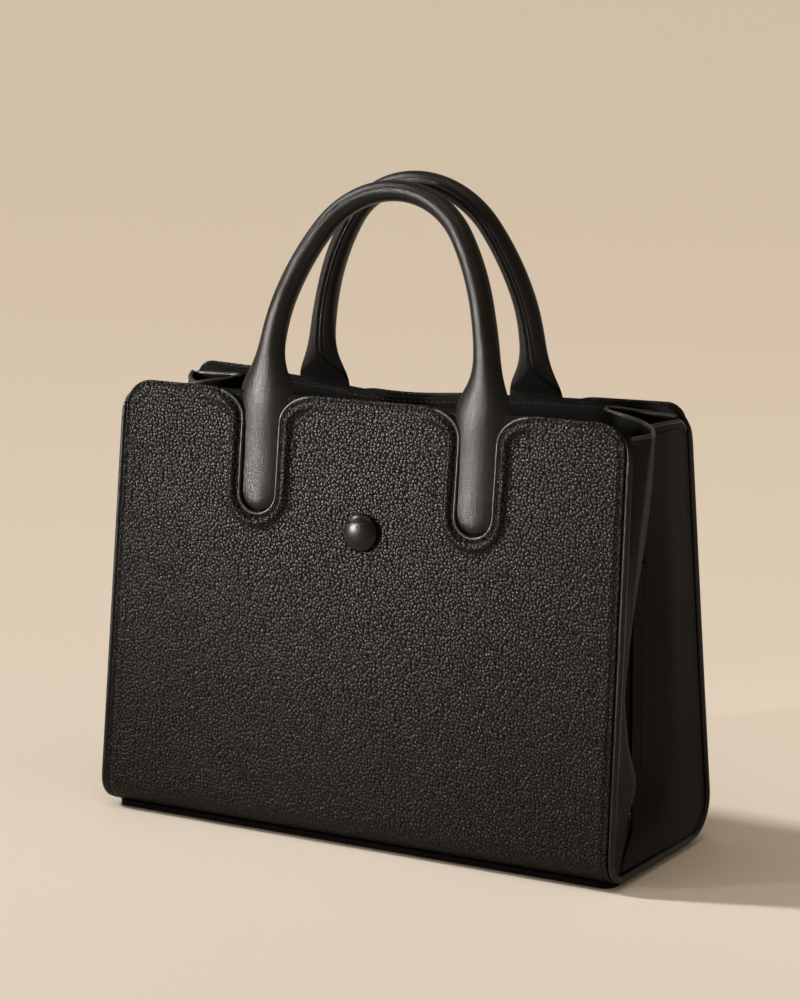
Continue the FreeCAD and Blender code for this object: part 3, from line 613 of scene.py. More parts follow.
def plate(name, face, corners, profile, spacing, fill, share=None, valley=0.0, settle=0.0):
    # A closed sheet on a side: a rounded edge of the given profile, a face and a back
    path = roundedPath(corners, spacing)
    inward = inwardNormals(path)
    share = np.zeros(len(path)) if share is None else share(path)
    rings = []
    heights = []
    for inset, plain, raised in profile:
        rings.append(path + inward * inset * mm)
        heights.append((plain + (raised - plain) * share) * mm)
    count = len(path)
    flat = np.concatenate(rings)
    level = np.concatenate(heights)
    faces = []
    for j in range(len(rings) - 1):
        for i in range(count):
            k = (i + 1) % count
            faces.append([j * count + i, j * count + k, (j + 1) * count + k, (j + 1) * count + i])
    last = (len(rings) - 1) * count
    for first, top in ((last, True), (0, False)):
        inner, triangles = fillLoop(flat[first:first + count], fill)
        inner = inner[count:]
        start = len(flat)
        gap, index = nearest(inner, path)
        if top:
            sunk = share[index] * valley * (1 - smoothStep(profile[-1][0] * mm, settle, gap))
            height = profile[-1][1] * mm + sunk
        else:
            height = np.full(len(inner), profile[0][1] * mm)
        flat = np.concatenate([flat, inner])
        level = np.concatenate([level, height])
        for triangle in triangles:
            turned = [first + i if i < count else start + i - count for i in triangle]
            faces.append(turned if top else turned[::-1])
    return newMesh(name, sidePoints(face, flat[:, 0], flat[:, 1], level), faces)


def makePanel(face):
    corners = panelCorners(face)
    plain, raised = panel["profile"][-1][1:]
    piece = plate(face + "Panel", face, corners, panel["profile"], panel["spacing"], panel["fill"],
                  weltShare, (raised - plain) * mm, panel["settle"])
    path = roundedPath(corners, panel["spacing"])
    for material in (pebbled, edgePaint):
        piece.data.materials.append(material)
    for i in np.flatnonzero(weltShare(path) > 0.6):  # the cut edge is painted there
        for ring in range(2, 6):
            piece.data.polygons[ring * len(path) + int(i)].material_index = 1
    mend(piece, angle=60)
    dress(piece, pebbled, "pebbled_leather", replaced=[face + "_panel"])
    bendAtFoot(piece)
    line = path + inwardNormals(path) * panel["seam"]
    first = int(np.argmin(np.abs(line[:, 1]) + (line[:, 0] > 0)))  # starts at the foot on the left
    line = np.roll(line, -first, axis=0)
    line = line[:int(np.argmin(np.abs(line[:, 1]) + (line[:, 0] < 0)))]
    seam = sewOnSide(face + "PanelSeam", face, line, panel["seamLevel"])
    dress(seam, thread, "pebbled_leather", ridesOn=face + "_side")


# Inner layers of a side: the underlay that the tabs lie on, the lining and the facing under the mouth
layers = {
    "underlay": {"outer": -2.2, "thick": 1.3, "step": 0.5, "inset": 1.0, "seam": 2.6,
                 "look": (paintedShadeFacingHide, "smooth_leather")},
    "lining": {"outer": -3.6, "thick": 0.7, "step": 1.6, "inset": 1.4, "look": (cloth, "lining_cloth")},
    "facing": {"outer": -4.35, "thick": 1.0, "step": 1.6, "inset": 12.0, "height": 32.0, "corner": 5.0,
               "seam": 2.2, "look": (paintedShadeFacingHide, "smooth_leather")},
}


def layerCorners(kind, face):
    sizes = layers[kind]
    top = sideLength - sizes["step"] * mm
    low = top - sizes["height"] * mm if "height" in sizes else 0.6 * mm
    inset, small = sizes["inset"] * mm, 2 * mm
    corner = sizes["corner"] * mm if "corner" in sizes else panel["corner"][face] - inset
    lowHalf, topHalf = halfWidth(low) - inset, halfWidth(top) - inset
    return [(-lowHalf, low, small, small), (-topHalf, top, corner, corner),
            (topHalf, top, corner, corner), (lowHalf, low, small, small)]


def layerProfile(kind):
    outer, thick = layers[kind]["outer"], layers[kind]["thick"]
    lip = 0.35 * thick
    steps = [(lip, -thick), (0.0, -thick + lip), (0.0, -lip), (lip, 0.0), (3 * lip, 0.02)]
    return [(inset, outer + level, outer + level) for inset, level in steps]


def makeLayers(face):
    for kind, sizes in layers.items():
        corners, profile = layerCorners(kind, face), layerProfile(kind)
        piece = plate(face + kind.title(), face, corners, profile, spacing=2.5 * mm, fill=6 * mm)
        mend(piece, angle=50)
        dress(piece, *sizes["look"], ridesOn=face + "_side", replaced=[f"{face}_{kind}"])
        kind == "lining"
    for kind in ("underlay", "facing"):
        sizes = layers[kind]
        path = roundedPath(layerCorners(kind, face), 2 * mm)
        line = path + inwardNormals(path) * sizes["seam"] * mm
        level = sizes["outer"] + 0.1
        if kind == "underlay":
            line = line[line[:, 1] > sideLength - 30 * mm]  # only its top shows, behind the cut-outs
        else:
            level -= sizes["thick"] + 0.2  # seen from inside the bag
        seam = sewOnSide(f"{face}{kind.title()}Seam", face, line, level * mm)
        dress(seam, thread, "smooth_leather", ridesOn=face + "_side")


for face in ("front", "back"):
    makePanel(face)
    makeLayers(face)
print("sides made")


# Rolled handles: one strip of leather from a tab, through a flare into the round roll, and back
handle = {
    "rise": 100.5 * mm,
    "crown": 48 * mm,
    "spring": 5 * mm,
    "footGap": 5 * mm,  # tilting axis above the panel's top edge
    "inset": 4 * mm,  # and in from the panel's face
    "lean": {"front": 9.5, "back": 1.0},  # degrees beyond the side's slope
    "tabEnd": -66 * mm,  # from the tilting axis down the side
    "tabHalf": 12 * mm,
    "ease": 22 * mm,  # the lean comes in over this much either side of the axis
    "around": 96,
    # height from the tilting axis: half width, depth outwards and inwards,
    # and how far the middle lies in from the panel's face
    "section": [(-66, 12.0, 2.1, 0.1, 2.0), (-40, 12.2, 2.3, 0.1, 2.0), (-26, 12.8, 2.8, 0.3, 2.1),
                (-18, 14.0, 3.4, 0.6, 2.3), (-10, 15.0, 4.2, 1.2, 2.6), (-4, 14.9, 4.5, 1.9, 2.9),
                (0, 13.9, 4.7, 2.5, 3.2), (4, 12.2, 4.9, 3.1, 3.4), (8, 10.4, 5.1, 3.7, 3.6),
                (13, 8.7, 5.3, 4.4, 3.8), (18, 7.6, 5.5, 4.9, 3.9), (27, 6.7, 5.8, 5.5, 4.0),
                (38, 6.2, 5.9, 5.9, 4.0), (60, 5.9, 5.8, 5.8, 4.0), (85, 5.6, 5.5, 5.5, 4.0),
                (106, 5.3, 5.3, 5.3, 4.0)],
    "bend": (-5 * mm, 16 * mm),  # stretch that gives when the handle tilts
    "seamAt": 0.75,  # share of the way round, on the inner side
    "seamStart": (6 * mm, 16 * mm),
    # grooves and ridges beside the seam: place and half width round the roll, and depth
    "seamForms": [(0.0, 0.007, 0.10), (0.03, 0.012, -0.06), (0.062, 0.008, 0.035)],
    "gore": {"top": 11 * mm, "low": -3 * mm, "share": 0.93, "lift": 0.35 * mm},
}


def archLine(steps):
    # Right foot to left foot: a crown arc between two haunch arcs that spring upright
    half, crown = body["legSpan"], handle["crown"]
    crownHeight = handle["rise"] - crown
    lift = crownHeight - handle["spring"]
    haunch = (half ** 2 + lift ** 2 - crown ** 2) / (2 * (half - crown))
    turn = math.atan2(lift, haunch - half)
    rise = np.linspace(0, handle["spring"], 4, endpoint=False)
    angles = np.linspace(0, turn, steps, endpoint=False)
    crownAngles = np.linspace(turn, math.pi / 2, steps)
    x = np.concatenate([np.full(len(rise), half), half - haunch + haunch * np.cos(angles),
                        crown * np.cos(crownAngles)])
    h = np.concatenate([rise, handle["spring"] + haunch * np.sin(angles),
                        crownHeight + crown * np.sin(crownAngles)])
    return np.concatenate([x, -x[-2::-1]]), np.concatenate([h, h[-2::-1]])


def handleLine(face):
    # Middle line of the strip with its outward normal, half width and both depths, tab to tab
    x, h = archLine(36)
    tip = handle["tabEnd"] + handle["tabHalf"] * (1 - np.cos(np.linspace(0, math.pi / 2, 12)))
    rest = np.linspace(handle["tabEnd"] + handle["tabHalf"], 0, 34, endpoint=False)[1:]
    tab = np.concatenate([tip, rest])
    half = np.full(len(tab), body["legSpan"])
    x = np.concatenate([half, x, -half])
    h = np.concatenate([tab, h, tab[::-1]])
    table = np.array(handle["section"]) * mm
    wide, deep, inner, inset = smoothCurve(table[:, 0], table[:, 1:], h).T
    end = np.clip((h - handle["tabEnd"]) / handle["tabHalf"], 0, 1)
    wide = wide * np.sqrt(1 - (1 - end) ** 2) + tiny
    blunt = np.sqrt(1 - (1 - np.clip(end * 2, 0, 1)) ** 2)
    deep = deep * blunt + tiny
    inner = inner * blunt + tiny
    pivotUp = sideLength + handle["footGap"]
    low = sidePoints(face, x, pivotUp + np.minimum(h, 0), -inset)
    turn = slack[face]["turn"]
    ease = handle["ease"]
    extra = math.radians(handle["lean"][face])
    lean = slope + extra * smoothStep(-ease, ease, h)
    pivotY = -body["halfDepth"] + body["edgeRadius"] * (1 - math.cos(slope)) + pivotUp * math.sin(slope)
    pivotY += handle["inset"] * math.cos(slope)
    pivotZ = sideFoot + pivotUp * math.cos(slope) - handle["inset"] * math.sin(slope)
    up = np.maximum(h, 0)
    eased = np.where(h < ease, np.maximum(h + ease, 0) ** 2 / (4 * ease), h)
    foot = np.stack([x, np.full(len(h), turn * pivotY), np.full(len(h), pivotZ)], axis=1)
    settle = (1 - smoothStep(0, 45 * mm, h))[:, None]
    straight = np.array([0, turn * math.sin(slope), math.cos(slope)])
    leaning = np.array([0, turn * math.sin(slope + extra), math.cos(slope + extra)])
    line = np.where(h[:, None] <= 0, low, foot + up[:, None] * straight + (low - foot) * settle)
    line = line + eased[:, None] * (leaning - straight)
    out = np.stack([np.zeros(len(h)), -turn * np.cos(lean), np.sin(lean)], axis=1)
    return line, out, wide, deep, inner, h


def makeHandle(face):
    line, out, wide, deep, inner, h = handleLine(face)
    along = unit(np.gradient(line, axis=0))
    across = unit(np.cross(along, out))
    out = unit(np.cross(across, along))
    rows = len(line) - 1

    def place(s, t):
        row = np.rint(t * rows).astype(int)
        s = s - 0.1 * np.sin(2 * math.pi * (s - handle["seamAt"]))  # finer where the seam runs
        angle = s * 2 * math.pi
        beside = np.abs(s - handle["seamAt"])
        groove = sum(np.exp(-((beside - at) / half) ** 2) * sunk for at, half, sunk in handle["seamForms"])
        size = 1 - groove * smoothStep(*handle["seamStart"], h[row])
        lens = 2 - smoothStep(-12 * mm, 30 * mm, h[row])  # the tab is a lens, the roll is round
        bulge = np.sign(np.sin(angle)) * np.abs(np.sin(angle)) ** lens
        depth = np.where(np.sin(angle) > 0, deep[row], inner[row]) * bulge * size
        spread = across[row] * (np.cos(angle) * wide[row] * size)[:, None]
        return line[row] + spread + out[row] * depth[:, None]

    piece = gridPiece(face + "Handle", handle["around"], rows, place)
    mend(piece, gap=0.02 * mm, angle=75)
    replaced = [face + "_handle", face + "_tab_left", face + "_tab_right"]
    dress(piece, handleHide, "smooth_leather", replaced=replaced)
    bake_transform(piece)
    gore = handle["gore"]
    for name, hand in (("Left", -1), ("Right", 1)):
        leg = line[:, 0] * hand > 0
        order = np.argsort(h[leg])

        def onLeg(values, height):
            columns = np.atleast_2d(values[leg][order].T)
            return np.stack([np.interp(height, h[leg][order], column) for column in columns], axis=-1)

        def patch(s, t):
            # A triangle on the inner side of the foot, its point up at the seam
            height = gore["low"] + (gore["top"] - gore["low"]) * t
            side = (2 * s - 1) * gore["share"] * np.clip(1 - (t - 0.15) / 0.85, 0.002, 1)
            reach = np.sqrt(1 - side ** 2)
            spread = across[leg][order][0] * (side * onLeg(wide, height)[:, 0])[:, None]
            behind = onLeg(out, height) * (onLeg(inner, height)[:, 0] * reach)[:, None]
            return onLeg(line, height) + spread - behind

        patchPiece = gridPiece(f"{face}HandleGore{name}", 24, 14, patch)
        thicken(patchPiece, gore["lift"] * 2)
        dress(patchPiece, paintedShadeFacingHide, "smooth_leather")
        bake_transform(patchPiece)


for face in ("front", "back"):
    makeHandle(face)
print("handles made")


# Gussets: each end folds in to a crease; sections from the base up, for the right end
gusset = {
    "seamOut": 0.8 * mm,  # beyond the panel's edge, behind the piping
    "seamIn": 3.3 * mm,  # in from the panel's face
    "thick": 2.0 * mm,
    "bevel": 0.85 * mm,
    # height: how far the front half swells out and back from its seam, then where its crease lies
    "front": [(6, -0.8, 4, 146, -42), (12, -3, 10, 142, -31), (18, -5, 17, 137, -15), (25, -4, 19, 131, -3),
              (34, -1.7, 19, 128, 0), (46, 1.3, 19, 126.5, 0), (70, -0.9, 13.2, 126, 0),
              (92, -2.3, 10.6, 125.8, 0.5), (116, -1.1, 10.3, 125, 2), (142, 0.7, 10.4, 122, 6),
              (168, 2.8, 9.7, 116, 12), (195, 5, 9.4, 107, 18.5), (220, 6.8, 9.5, 99, 23)],
    # height: middle of the back half, then its front end inside the fold
    "back": [(6, 147, 3, 146.2, -41), (12, 145.4, 5, 142.6, -29.5), (18, 143.4, 9, 138.2, -13.5),
             (25, 141, 14, 132.8, -1.5), (34, 139.6, 19, 129.6, 1), (46, 139, 22, 128, 1),
             (70, 139.4, 22, 127.6, 1.2), (116, 140.4, 20, 126.8, 3.2), (142, 141, 18, 126.8, 4.6),
             (168, 141.8, 15.5, 129.8, 3.8), (195, 142.4, 12.5, 134.6, 1), (220, 142.2, 11, 138.2, -1.5)],
    # at the mouth, by end: the front half's line on to its crease, and the back half's middle and front end
    "mouth": {
        "left": {"fold": [(145.5, -7.5), (134, 1), (120.5, 3.6), (111.8, 9), (112, 19)],
                 "back": (138.5, 16.5, 127, 6.8)},
        "right": {"fold": [(144.5, -8), (132.5, 4.5), (119.5, 11.5), (110.5, 14.5), (106, 18)],
                  "back": (142.2, 11, 138.2, -1.5)},
    },
    "open": (112 * mm, 216 * mm),  # heights between which the fold opens to the mouth's line
    "returnLow": 188 * mm,
    "hem": 4.6 * mm,
    # along each part from its seam or crease: how far the top edge rises or drops
    "top": {
        "left": {"front": [(0, -12), (0.3, -11), (0.45, -6), (0.6, -1.5), (0.72, 1.2), (0.86, 2), (1, 2.2)],
                 "back": [(0, -2), (0.12, 0.8), (0.35, 0.8), (0.7, -0.6), (1, -2)],
                 "return": [(0, 2.2), (0.5, 2), (1, 1)]},
        "right": {"front": [(0, -1), (0.15, 0), (0.35, 0), (0.8, 2.6), (1, 3.4)],
                  "back": [(0, -5.5), (0.15, -1), (0.4, 0), (1, 0)],
                  "return": [(0, 3.4), (0.4, 3.2), (1, 1.4)]},
    },
    "rim": 1.15 * mm,  # radius of the painted edge along the top
    "lap": 3.2 * mm,  # the return lies this far inside the back half's seam
    "outward": {"front": (0.8, 0.6), "back": (1, 0), "return": (0, 1)},
    # the side that each part follows, and where along x and y it stays with the base or goes all the way
    "follow": {"front": ("front_side", (0, 20 * mm), (0, -32 * mm)),
               "back": ("back_side", (0, 0), (0, 32 * mm)),
               "return": ("back_side", (104 * mm, 0), (141 * mm, 0))},
}


def sideDepth(face, z):
    # Distance of a side's outer face from the middle plane at height z, at the end of the bag
    radius = slack[face]["edge"]
    drop = np.clip(body["bottom"] + radius - z, 0, radius)
    low = body["halfDepth"] - radius + np.sqrt(radius ** 2 - drop ** 2)
    up = np.maximum(z - body["footHeight"], 0)
    return low - up * math.tan(slope) - slack[face]["lean"] * up / (body["height"] - body["footHeight"])


def gussetSeam(face, z):
    x = halfWidth((z - sideFoot) / math.cos(slope)) + gusset["seamOut"]
    return x, sideDepth(face, z) - gusset["seamIn"]


def alongPoints(controls, s):
    # A smooth line through control points: controls is (count, n, 2), s from 0 to 1 for each of n
    keys = np.linspace(0, 1, len(controls))
    slopes = np.gradient(controls, keys, axis=0)
    index = np.clip((s * (len(controls) - 1)).astype(int), 0, len(controls) - 2)
    part = ((s - keys[index]) / keys[1])[:, None]
    here, after = (index, np.arange(len(s))), (index + 1, np.arange(len(s)))
    return cubic(part, keys[1], controls[here], controls[after], slopes[here], slopes[after])


def gussetPoints(part, name, s, z):
    seamX, seamY = gussetSeam("front" if part == "front" else "back", z)
    table = np.array(gusset["back" if part == "back" else "front"]) * mm
    values = smoothCurve(table[:, 0], table[:, 1:], z)
    mouth = gusset["mouth"][name]
    opened = smoothStep(*gusset["open"], z)
    if part == "back":
        midX, midY, endX, endY = (values + (np.array(mouth["back"]) * mm - values) * opened[:, None]).T
        between = ((seamX + midX) / 2 + 0.6 * mm, (seamY + midY) / 2)
        controls = [(seamX, seamY), between, (midX, midY), (endX, endY)]
    else:
        outX, outY = seamX + values[:, 0], -seamY + values[:, 1]
        controls = [(seamX, -seamY), (seamX + values[:, 0] * 0.8, -seamY + values[:, 1] * 0.5), (outX, outY)]
        for k, (foldX, foldY) in enumerate(mouth["fold"]):
            share = (k + 1) / len(mouth["fold"])
            x = outX + (values[:, 2] - outX) * share
            y = outY + (values[:, 3] - outY) * share
            controls.append((x + (foldX * mm - x) * opened, y + (foldY * mm - y) * opened))
    if part == "return":  # on from the crease, along the back side to its seam
        tipX, tipY = controls[-1]
        wall = seamY - gusset["lap"]
        gap = wall - tipY
        controls = [(tipX, tipY), (tipX - 0.6 * mm, tipY + gap * 0.55), (tipX + 1.5 * mm + gap * 0.3, wall),
                    (tipX * 0.5 + seamX * 0.5, wall), (seamX - 2 * mm, wall + 1.2 * mm)]
    plan = alongPoints(np.stack([np.stack(np.broadcast_arrays(*c), axis=1) for c in controls]), s)
    return np.stack([plan[:, 0], plan[:, 1], z], axis=1)


def gussetSurface(part, name, s, z, w=0.0):
    # w is measured out of the sheet, on the side that faces out of the bag
    base = gussetPoints(part, name, s, z)
    step = 0.002
    ahead = gussetPoints(part, name, np.clip(s + step, 0, 1), z)
    up = gussetPoints(part, name, s, z + 0.3 * mm) - gussetPoints(part, name, s, z - 0.3 * mm)
    out = unit(np.cross(ahead - gussetPoints(part, name, np.clip(s - step, 0, 1), z), up))
    if part == "back":
        out = -out
    base = base + out * np.asarray(w)[..., None]
    return base * np.array([-1 if name == "left" else 1, 1, 1])


def unfold(piece, part, hand):
    side, start, end = gusset["follow"][part]
    hand * start[0]
    hand * end[0]
    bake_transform(piece)


def makeGusset(name, hand):
    low, high = gusset["front"][0][0] * mm, gusset["front"][-1][0] * mm

    def topAt(part, s):
        steps = np.array(gusset["top"][name][part], float)
        return high + smoothCurve(steps[:, 0], steps[:, 1], s) * mm

    spans = {"front": (low, 72, 76), "back": (low, 40, 76), "return": (gusset["returnLow"], 48, 14)}
    for part, (start, columns, rows) in spans.items():
        label = f"{name}Gusset{part.title()}"

        def place(s, t):
            return gussetSurface(part, name, s, start + (topAt(part, s) - start) * t)

        piece = gridPiece(label, columns, rows, place)
        thicken(piece, gusset["thick"], gusset["bevel"], 4)
        # painted shade: faces that look into the bag take the darker facing hide
        for material in (gussetHide, paintedShadeFacingHide):
            piece.data.materials.append(material)
        outX, outY = gusset["outward"][part]
        for polygon in piece.data.polygons:
            facing = polygon.normal.x * hand * outX + polygon.normal.y * outY
            polygon.material_index = 1 if facing < -0.15 or part == "return" else 0
        replaced = [] if part == "return" else [f"{name}_gusset_{part}"]
        dress(piece, gussetHide, "gusset_leather", replaced=replaced)
        unfold(piece, part, hand)
        s = np.linspace(0.012, 0.985, 160)
        radii = np.full(len(s), gusset["rim"])
        radii[[0, -1]] = tiny
        line = gussetSurface(part, name, s, topAt(part, s) - gusset["rim"] * 0.6)
        rim = tube(label + "Rim", line, radii, 10)
        dress(rim, edgePaint, "gusset_leather")
        unfold(rim, part, hand)
    for part, reach in (("front", (0.03, 0.95)), ("back", (0.04, 0.85))):
        s = np.linspace(*reach, 200)
        line = gussetSurface(part, name, s, topAt(part, s) - gusset["hem"], gusset["thick"] / 2)
        spots = evenly(np.concatenate([line, s[:, None]], axis=1), stitch["pitch"])
        line, s = spots[:, :3], spots[:, 3]
        level = topAt(part, s) - gusset["hem"]
        out = gussetSurface(part, name, s, level, 2 * mm) - gussetSurface(part, name, s, level)
        seam = sew(f"{name}Gusset{part.title()}Hem", line, np.gradient(line, axis=0), out)
        dress(seam, thread, "gusset_leather")
        unfold(seam, part, hand)


for name, hand in (("left", -1), ("right", 1)):
    makeGusset(name, hand)
print("gussets made")


# Strip sewn down the crease on the outer side of the fold
strip = {"low": 42 * mm, "high": 152 * mm, "reach": (0.875, 0.97), "thick": 2.2 * mm, "lift": 2.1 * mm,
         "endRadius": 3.5 * mm, "bevel": 0.7 * mm}


def makeStrip(name, hand):
    first, last = strip["reach"]

    def place(s, t):
        z = strip["low"] + (strip["high"] - strip["low"]) * t
        end = np.clip(np.minimum(z - strip["low"], strip["high"] - z) / strip["endRadius"], 0, 1)
        share = np.sqrt(1 - (1 - end) ** 2) * 0.999 + 0.001  # both ends are round
        middle = (first + last) / 2
        return gussetSurface("back", name, middle + (s - 0.5) * (last - first) * share, z, strip["lift"])

    piece = gridPiece(name + "CreaseStrip", 10, 70, place)
    thicken(piece, strip["thick"], strip["bevel"])
    dress(piece, gussetHide, "gusset_leather", replaced=[name + "_crease_strip"])
    unfold(piece, "back", hand)
    z = np.arange(strip["low"] + 5 * mm, strip["high"], stitch["pitch"])
    s = np.full(len(z), first + (last - first) * 0.2)
    lift = strip["lift"] + strip["thick"] / 2
    line = gussetSurface("back", name, s, z, lift)
    out = gussetSurface("back", name, s, z, lift + mm) - line
    seam = sew(name + "CreaseStripSeam", line, np.gradient(line, axis=0), out)
    dress(seam, thread, "gusset_leather")
    unfold(seam, "back", hand)


for name, hand in (("left", -1), ("right", 1)):
    makeStrip(name, hand)
print("crease strips made")


# Piping along the end seams: down a side's edge, round the bottom corner and on to the middle of the base
piping = {"gap": 0.1 * mm, "deep": 1.8 * mm, "around": 16, "taper": 20 * mm, "start": 0.42,
          "hidden": 3.2 * mm, "emerge": 14 * mm, "past": 2 * mm}


def pipingLine(face, hand):
    corner = panel["corner"][face]
    turn = np.linspace(piping["start"], 1, 14) * math.pi / 2
    down = np.linspace(sideLength - corner, -arcLength, 120)[1:]
    run = np.concatenate([turn * corner, turn[-1] * corner + sideLength - corner - down])
    hidden = piping["hidden"] * (1 - smoothStep(0, piping["emerge"], run - run[0]))
    out = piping["gap"] + body["pipeRadius"] - hidden  # it comes out from under the edge
    reach = corner + out[:len(turn)]
    cornerHalf = halfWidth(sideLength) - corner
    v = np.concatenate([sideLength - corner + reach * np.cos(turn), down])
    u = np.concatenate([cornerHalf + reach * np.sin(turn), halfWidth(down) + out[len(turn):]])
    line = sidePoints(face, u * hand, v, -piping["deep"])
    endX, endY, endZ = line[-1]
    inward = np.append(np.linspace(endY, 0, 24)[1:], -math.copysign(piping["past"], endY))
    floor = np.stack(np.broadcast_arrays(endX, inward, endZ), axis=1)
    return np.concatenate([line, floor])


def makePiping(face, name, hand):
    line = pipingLine(face, hand)
    radii = body["pipeRadius"] * (0.35 + 0.65 * smoothStep(0, piping["taper"], runLength(line)))
    radii[[0, -1]] = tiny
    piece = tube(f"{face}Piping{name.title()}", line, radii, piping["around"])
    dress(piece, handleHide, "smooth_leather", replaced=[f"{face}_piping_{name}", f"base_piping_{name}"])
    bendAtFoot(piece)


for face in ("front", "back"):
    for name, hand in (("left", -1), ("right", 1)):
        makePiping(face, name, hand)
print("piping made")


# Stud: a satin dome on the front, with its washer inside
stud = {"height": 160 * mm, "radius": 9.75 * mm, "foot": 9.4575 * mm, "dome": 5.4 * mm, "rim": 1.1 * mm,
        "sides": 56, "rings": 14, "lift": 0.05 * mm,
        "washer": {"radius": 5 * mm, "thick": 1 * mm, "lift": -4.6 * mm, "bevel": 0.35 * mm}}


def setOnFront(piece, lift):
    # From the origin to the stud's place, facing out of the front
    up = (stud["height"] - sideFoot) / math.cos(slope)
    spot, inner, outer = [Vector(sidePoints("front", 0.0, up, w)) for w in (lift, 0.0, 1 * mm)]
    turn = (outer - inner).to_track_quat("Z", "Y").to_matrix().to_4x4()
    piece.data.transform(Matrix.Translation(spot) @ turn)


def makeStud():
    level, radius = 0.0, stud["foot"]
    rings = [(stud["radius"], stud["rim"] * 0.35), (stud["radius"], stud["rim"] * 0.75)]
    for i in range(1, stud["rings"]):
        angle = math.pi / 2 * i / stud["rings"]
        rise = (stud["dome"] - stud["rim"]) * math.sin(angle)
        rings.append((stud["radius"] * math.cos(angle), stud["rim"] + rise))
    circle = {"vertices": stud["sides"], "radius": radius, "fill_type": "NGON"}
    piece = primitive("studDome", bpy.ops.mesh.primitive_circle_add, **circle)
    bpy.ops.object.mode_set(mode="EDIT")
    bpy.ops.mesh.select_mode(type="FACE")
    for wide, high in rings:  # up the rim and over the dome, ring by ring
        bpy.ops.mesh.extrude_region_move(TRANSFORM_OT_translate={"value": (0, 0, high - level)})
        bpy.ops.transform.resize(value=(wide / radius, wide / radius, 1))
        level, radius = high, wide
    bpy.ops.mesh.poke(offset=stud["dome"] - level)
    bpy.ops.object.mode_set(mode="OBJECT")
    setOnFront(piece, stud["lift"])
    mend(piece, angle=50)
    dress(piece, metal, "black_metal", ridesOn="front_side", replaced=["stud"])
    sizes = stud["washer"]
    disc = {"vertices": 40, "radius": sizes["radius"], "depth": sizes["thick"]}
    washer = primitive("studWasher", bpy.ops.mesh.primitive_cylinder_add, **disc)
    modify(washer, "BEVEL", width=sizes["bevel"], segments=3, limit_method="ANGLE")
    setOnFront(washer, sizes["lift"])
    mend(washer, gap=tiny)
    dress(washer, metal, "black_metal", ridesOn="front_side", replaced=["stud_washer"])


makeStud()
print("stud made")


# Base: the leather under the bag between the two panels, and the lining on its floor
base = {"thick": 2.0 * mm, "lift": 0.06 * mm, "join": 0.4 * mm, "bevel": 0.6 * mm}
floorCloth = {"thick": 0.7 * mm, "lift": 0.4 * mm, "wave": 0.35 * mm, "across": 17 * mm, "along": 13 * mm,
              "hem": 12 * mm}


def makeBase():
    low = slack["front"]["edge"] + panel["under"] + base["join"] - body["halfDepth"]
    high = body["halfDepth"] - slack["back"]["edge"] - panel["under"] - base["join"]
    piece = primitive("baseLeather", bpy.ops.mesh.primitive_cube_add, size=1)
    bpy.ops.object.mode_set(mode="EDIT")
    bpy.ops.transform.resize(value=(2 * body["footHalf"], high - low, base["thick"]))
    middle = (0, (high + low) / 2, body["bottom"] + base["lift"] + base["thick"] / 2)
    bpy.ops.transform.translate(value=middle)
    bpy.ops.mesh.subdivide(number_cuts=6)
    bpy.ops.object.mode_set(mode="OBJECT")
    modify(piece, "BEVEL", width=base["bevel"], segments=3, limit_method="ANGLE")
    mend(piece, gap=tiny)
    dress(piece, pebbled, "pebbled_leather", ridesOn="base", replaced=["base_panel"])
    low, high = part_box("base_lining")
    width, length = high.x - low.x, high.y - low.y

    def place(s, t):
        x = low.x + width * s
        y = low.y + length * t
        edge = np.minimum(np.minimum(s, 1 - s) * width, np.minimum(t, 1 - t) * length)
        swell = np.sin(x / floorCloth["across"]) * np.sin(y / floorCloth["along"] + 0.6)
        lift = floorCloth["wave"] * np.abs(swell) * smoothStep(0, floorCloth["hem"], edge)
        return np.stack([x, y, low.z + floorCloth["lift"] + lift], axis=1)

    floor = gridPiece("baseLining", 80, 24, place)
    thicken(floor, floorCloth["thick"])
    dress(floor, cloth, "lining_cloth", ridesOn="base", replaced=["base_lining"])


makeBase()
for node, material in (("sole", paintedShadeFacingHide), ("base_board", board), ("front_handle_core", rope),
                       ("back_handle_core", rope)):
    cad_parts[node].data.materials.clear()
    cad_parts[node].data.materials.append(material)
print("base made")


# Studio: pale floor, sun from the left, a narrow lamp from the front left, a wide one above, a weak world
studio = {
    "nearFloor": (0.89, 0.82, 0.745),
    "farFloor": (0.90, 0.78, 0.65),
    "fade": (-0.7, 1.6),  # where behind the middle the floor starts and stops fading
    "world": (0.93, 0.77, 0.60),
    "worldStrength": 0.32,
    "sun": {"azimuth": 14, "elevation": 40, "power": 2.1, "spread": 5, "colour": (1.0, 0.99, 0.95)},
    "keyLight": {"at": (-1.5, -1.6, 0.55), "aim": (-0.036, -0.05, 0.218), "size": 0.3, "beam": 11,
                 "power": 0.56, "colour": (1.0, 0.95, 0.88)},
    "topLight": {"at": (0.1, -0.5, 2.2), "aim": (0.1, -0.4, 0), "size": 1.4, "beam": 180, "power": 7,
                 "colour": (1.0, 0.88, 0.72)},
}


def pointAlong(thing, direction):
    thing.rotation_euler = direction.to_track_quat("-Z", "Y").to_euler()


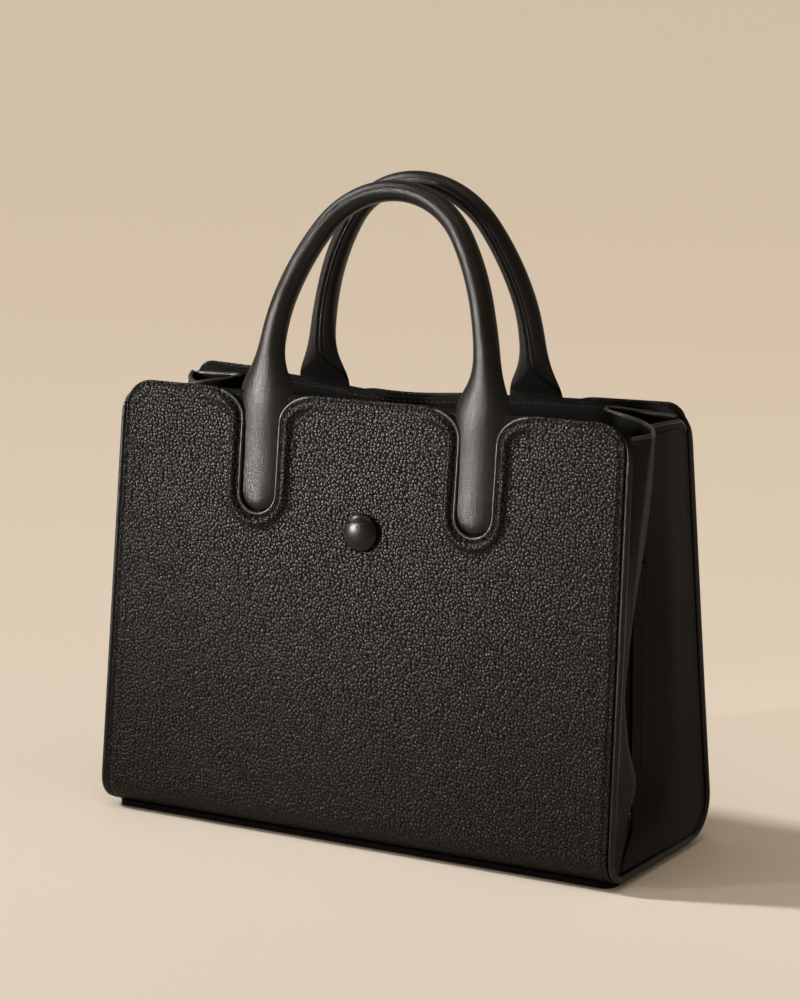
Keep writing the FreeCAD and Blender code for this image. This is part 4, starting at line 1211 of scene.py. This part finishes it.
def makeStudio():
    floor = primitive("studioFloor", bpy.ops.mesh.primitive_plane_add, size=30)
    material, shader, place = startMaterial("paleFloor")
    mottle = noise(place, 1 / 0.35, 3.0)
    first, last = studio["fade"]
    back = place.node("ShaderNodeSeparateXYZ", {}, {0: place}, out=1)
    fade = ramp((back - first) * (1 / (last - first)), [(0.0, 0.0), (1.0, 1.0)]) + 0.03 * mottle
    finishMaterial(shader, blendColour(fade, studio["nearFloor"], studio["farFloor"]), 0.85 + 0.05 * mottle)
    floor.data.materials.append(material)
    world = bpy.data.worlds.new("studioWorld")
    world.use_nodes = True
    bpy.context.scene.world = world
    sky = world.node_tree.nodes["Background"]
    sky.inputs["Color"].default_value = (*studio["world"], 1)
    sky.inputs["Strength"].default_value = studio["worldStrength"]
    sun = studio["sun"]
    light = primitive("sunLight", bpy.ops.object.light_add, type="SUN", location=(-2, -0.5, 2))
    light.data.energy = sun["power"]
    light.data.angle = math.radians(sun["spread"])
    light.data.color = sun["colour"]
    turn, rise = math.radians(sun["azimuth"]), math.radians(sun["elevation"])
    aim = (math.cos(turn) * math.cos(rise), math.sin(turn) * math.cos(rise), -math.sin(rise))
    pointAlong(light, Vector(aim))
    for name in ("keyLight", "topLight"):
        lamp = studio[name]
        light = primitive(name, bpy.ops.object.light_add, type="AREA", location=lamp["at"])
        light.data.shape = "DISK"
        light.data.size = lamp["size"]
        light.data.spread = math.radians(lamp["beam"])
        light.data.energy = lamp["power"]
        light.data.color = lamp["colour"]
        pointAlong(light, Vector(lamp["aim"]) - Vector(lamp["at"]))


makeStudio()

# Camera at the photograph's angle: turned to the right of the front and a little above
view = {"azimuth": 30.21, "elevation": 11.15, "distance": 1.644, "target": (-0.0005, 0.0, 0.16955),
        "lens": 116.6}


def makeCamera():
    azimuth, elevation = math.radians(view["azimuth"]), math.radians(view["elevation"])
    forward = Vector((-math.sin(azimuth) * math.cos(elevation), math.cos(azimuth) * math.cos(elevation),
                      -math.sin(elevation)))
    spot = Vector(view["target"]) - forward * view["distance"]
    camera = primitive("camera", bpy.ops.object.camera_add, location=spot)
    pointAlong(camera, forward)
    camera.data.lens = view["lens"]
    camera.data.sensor_width = 36
    camera.data.clip_end = 50
    bpy.context.scene.camera = camera


makeCamera()
bpy.context.scene.view_settings.view_transform = "Standard"
print("studio made")
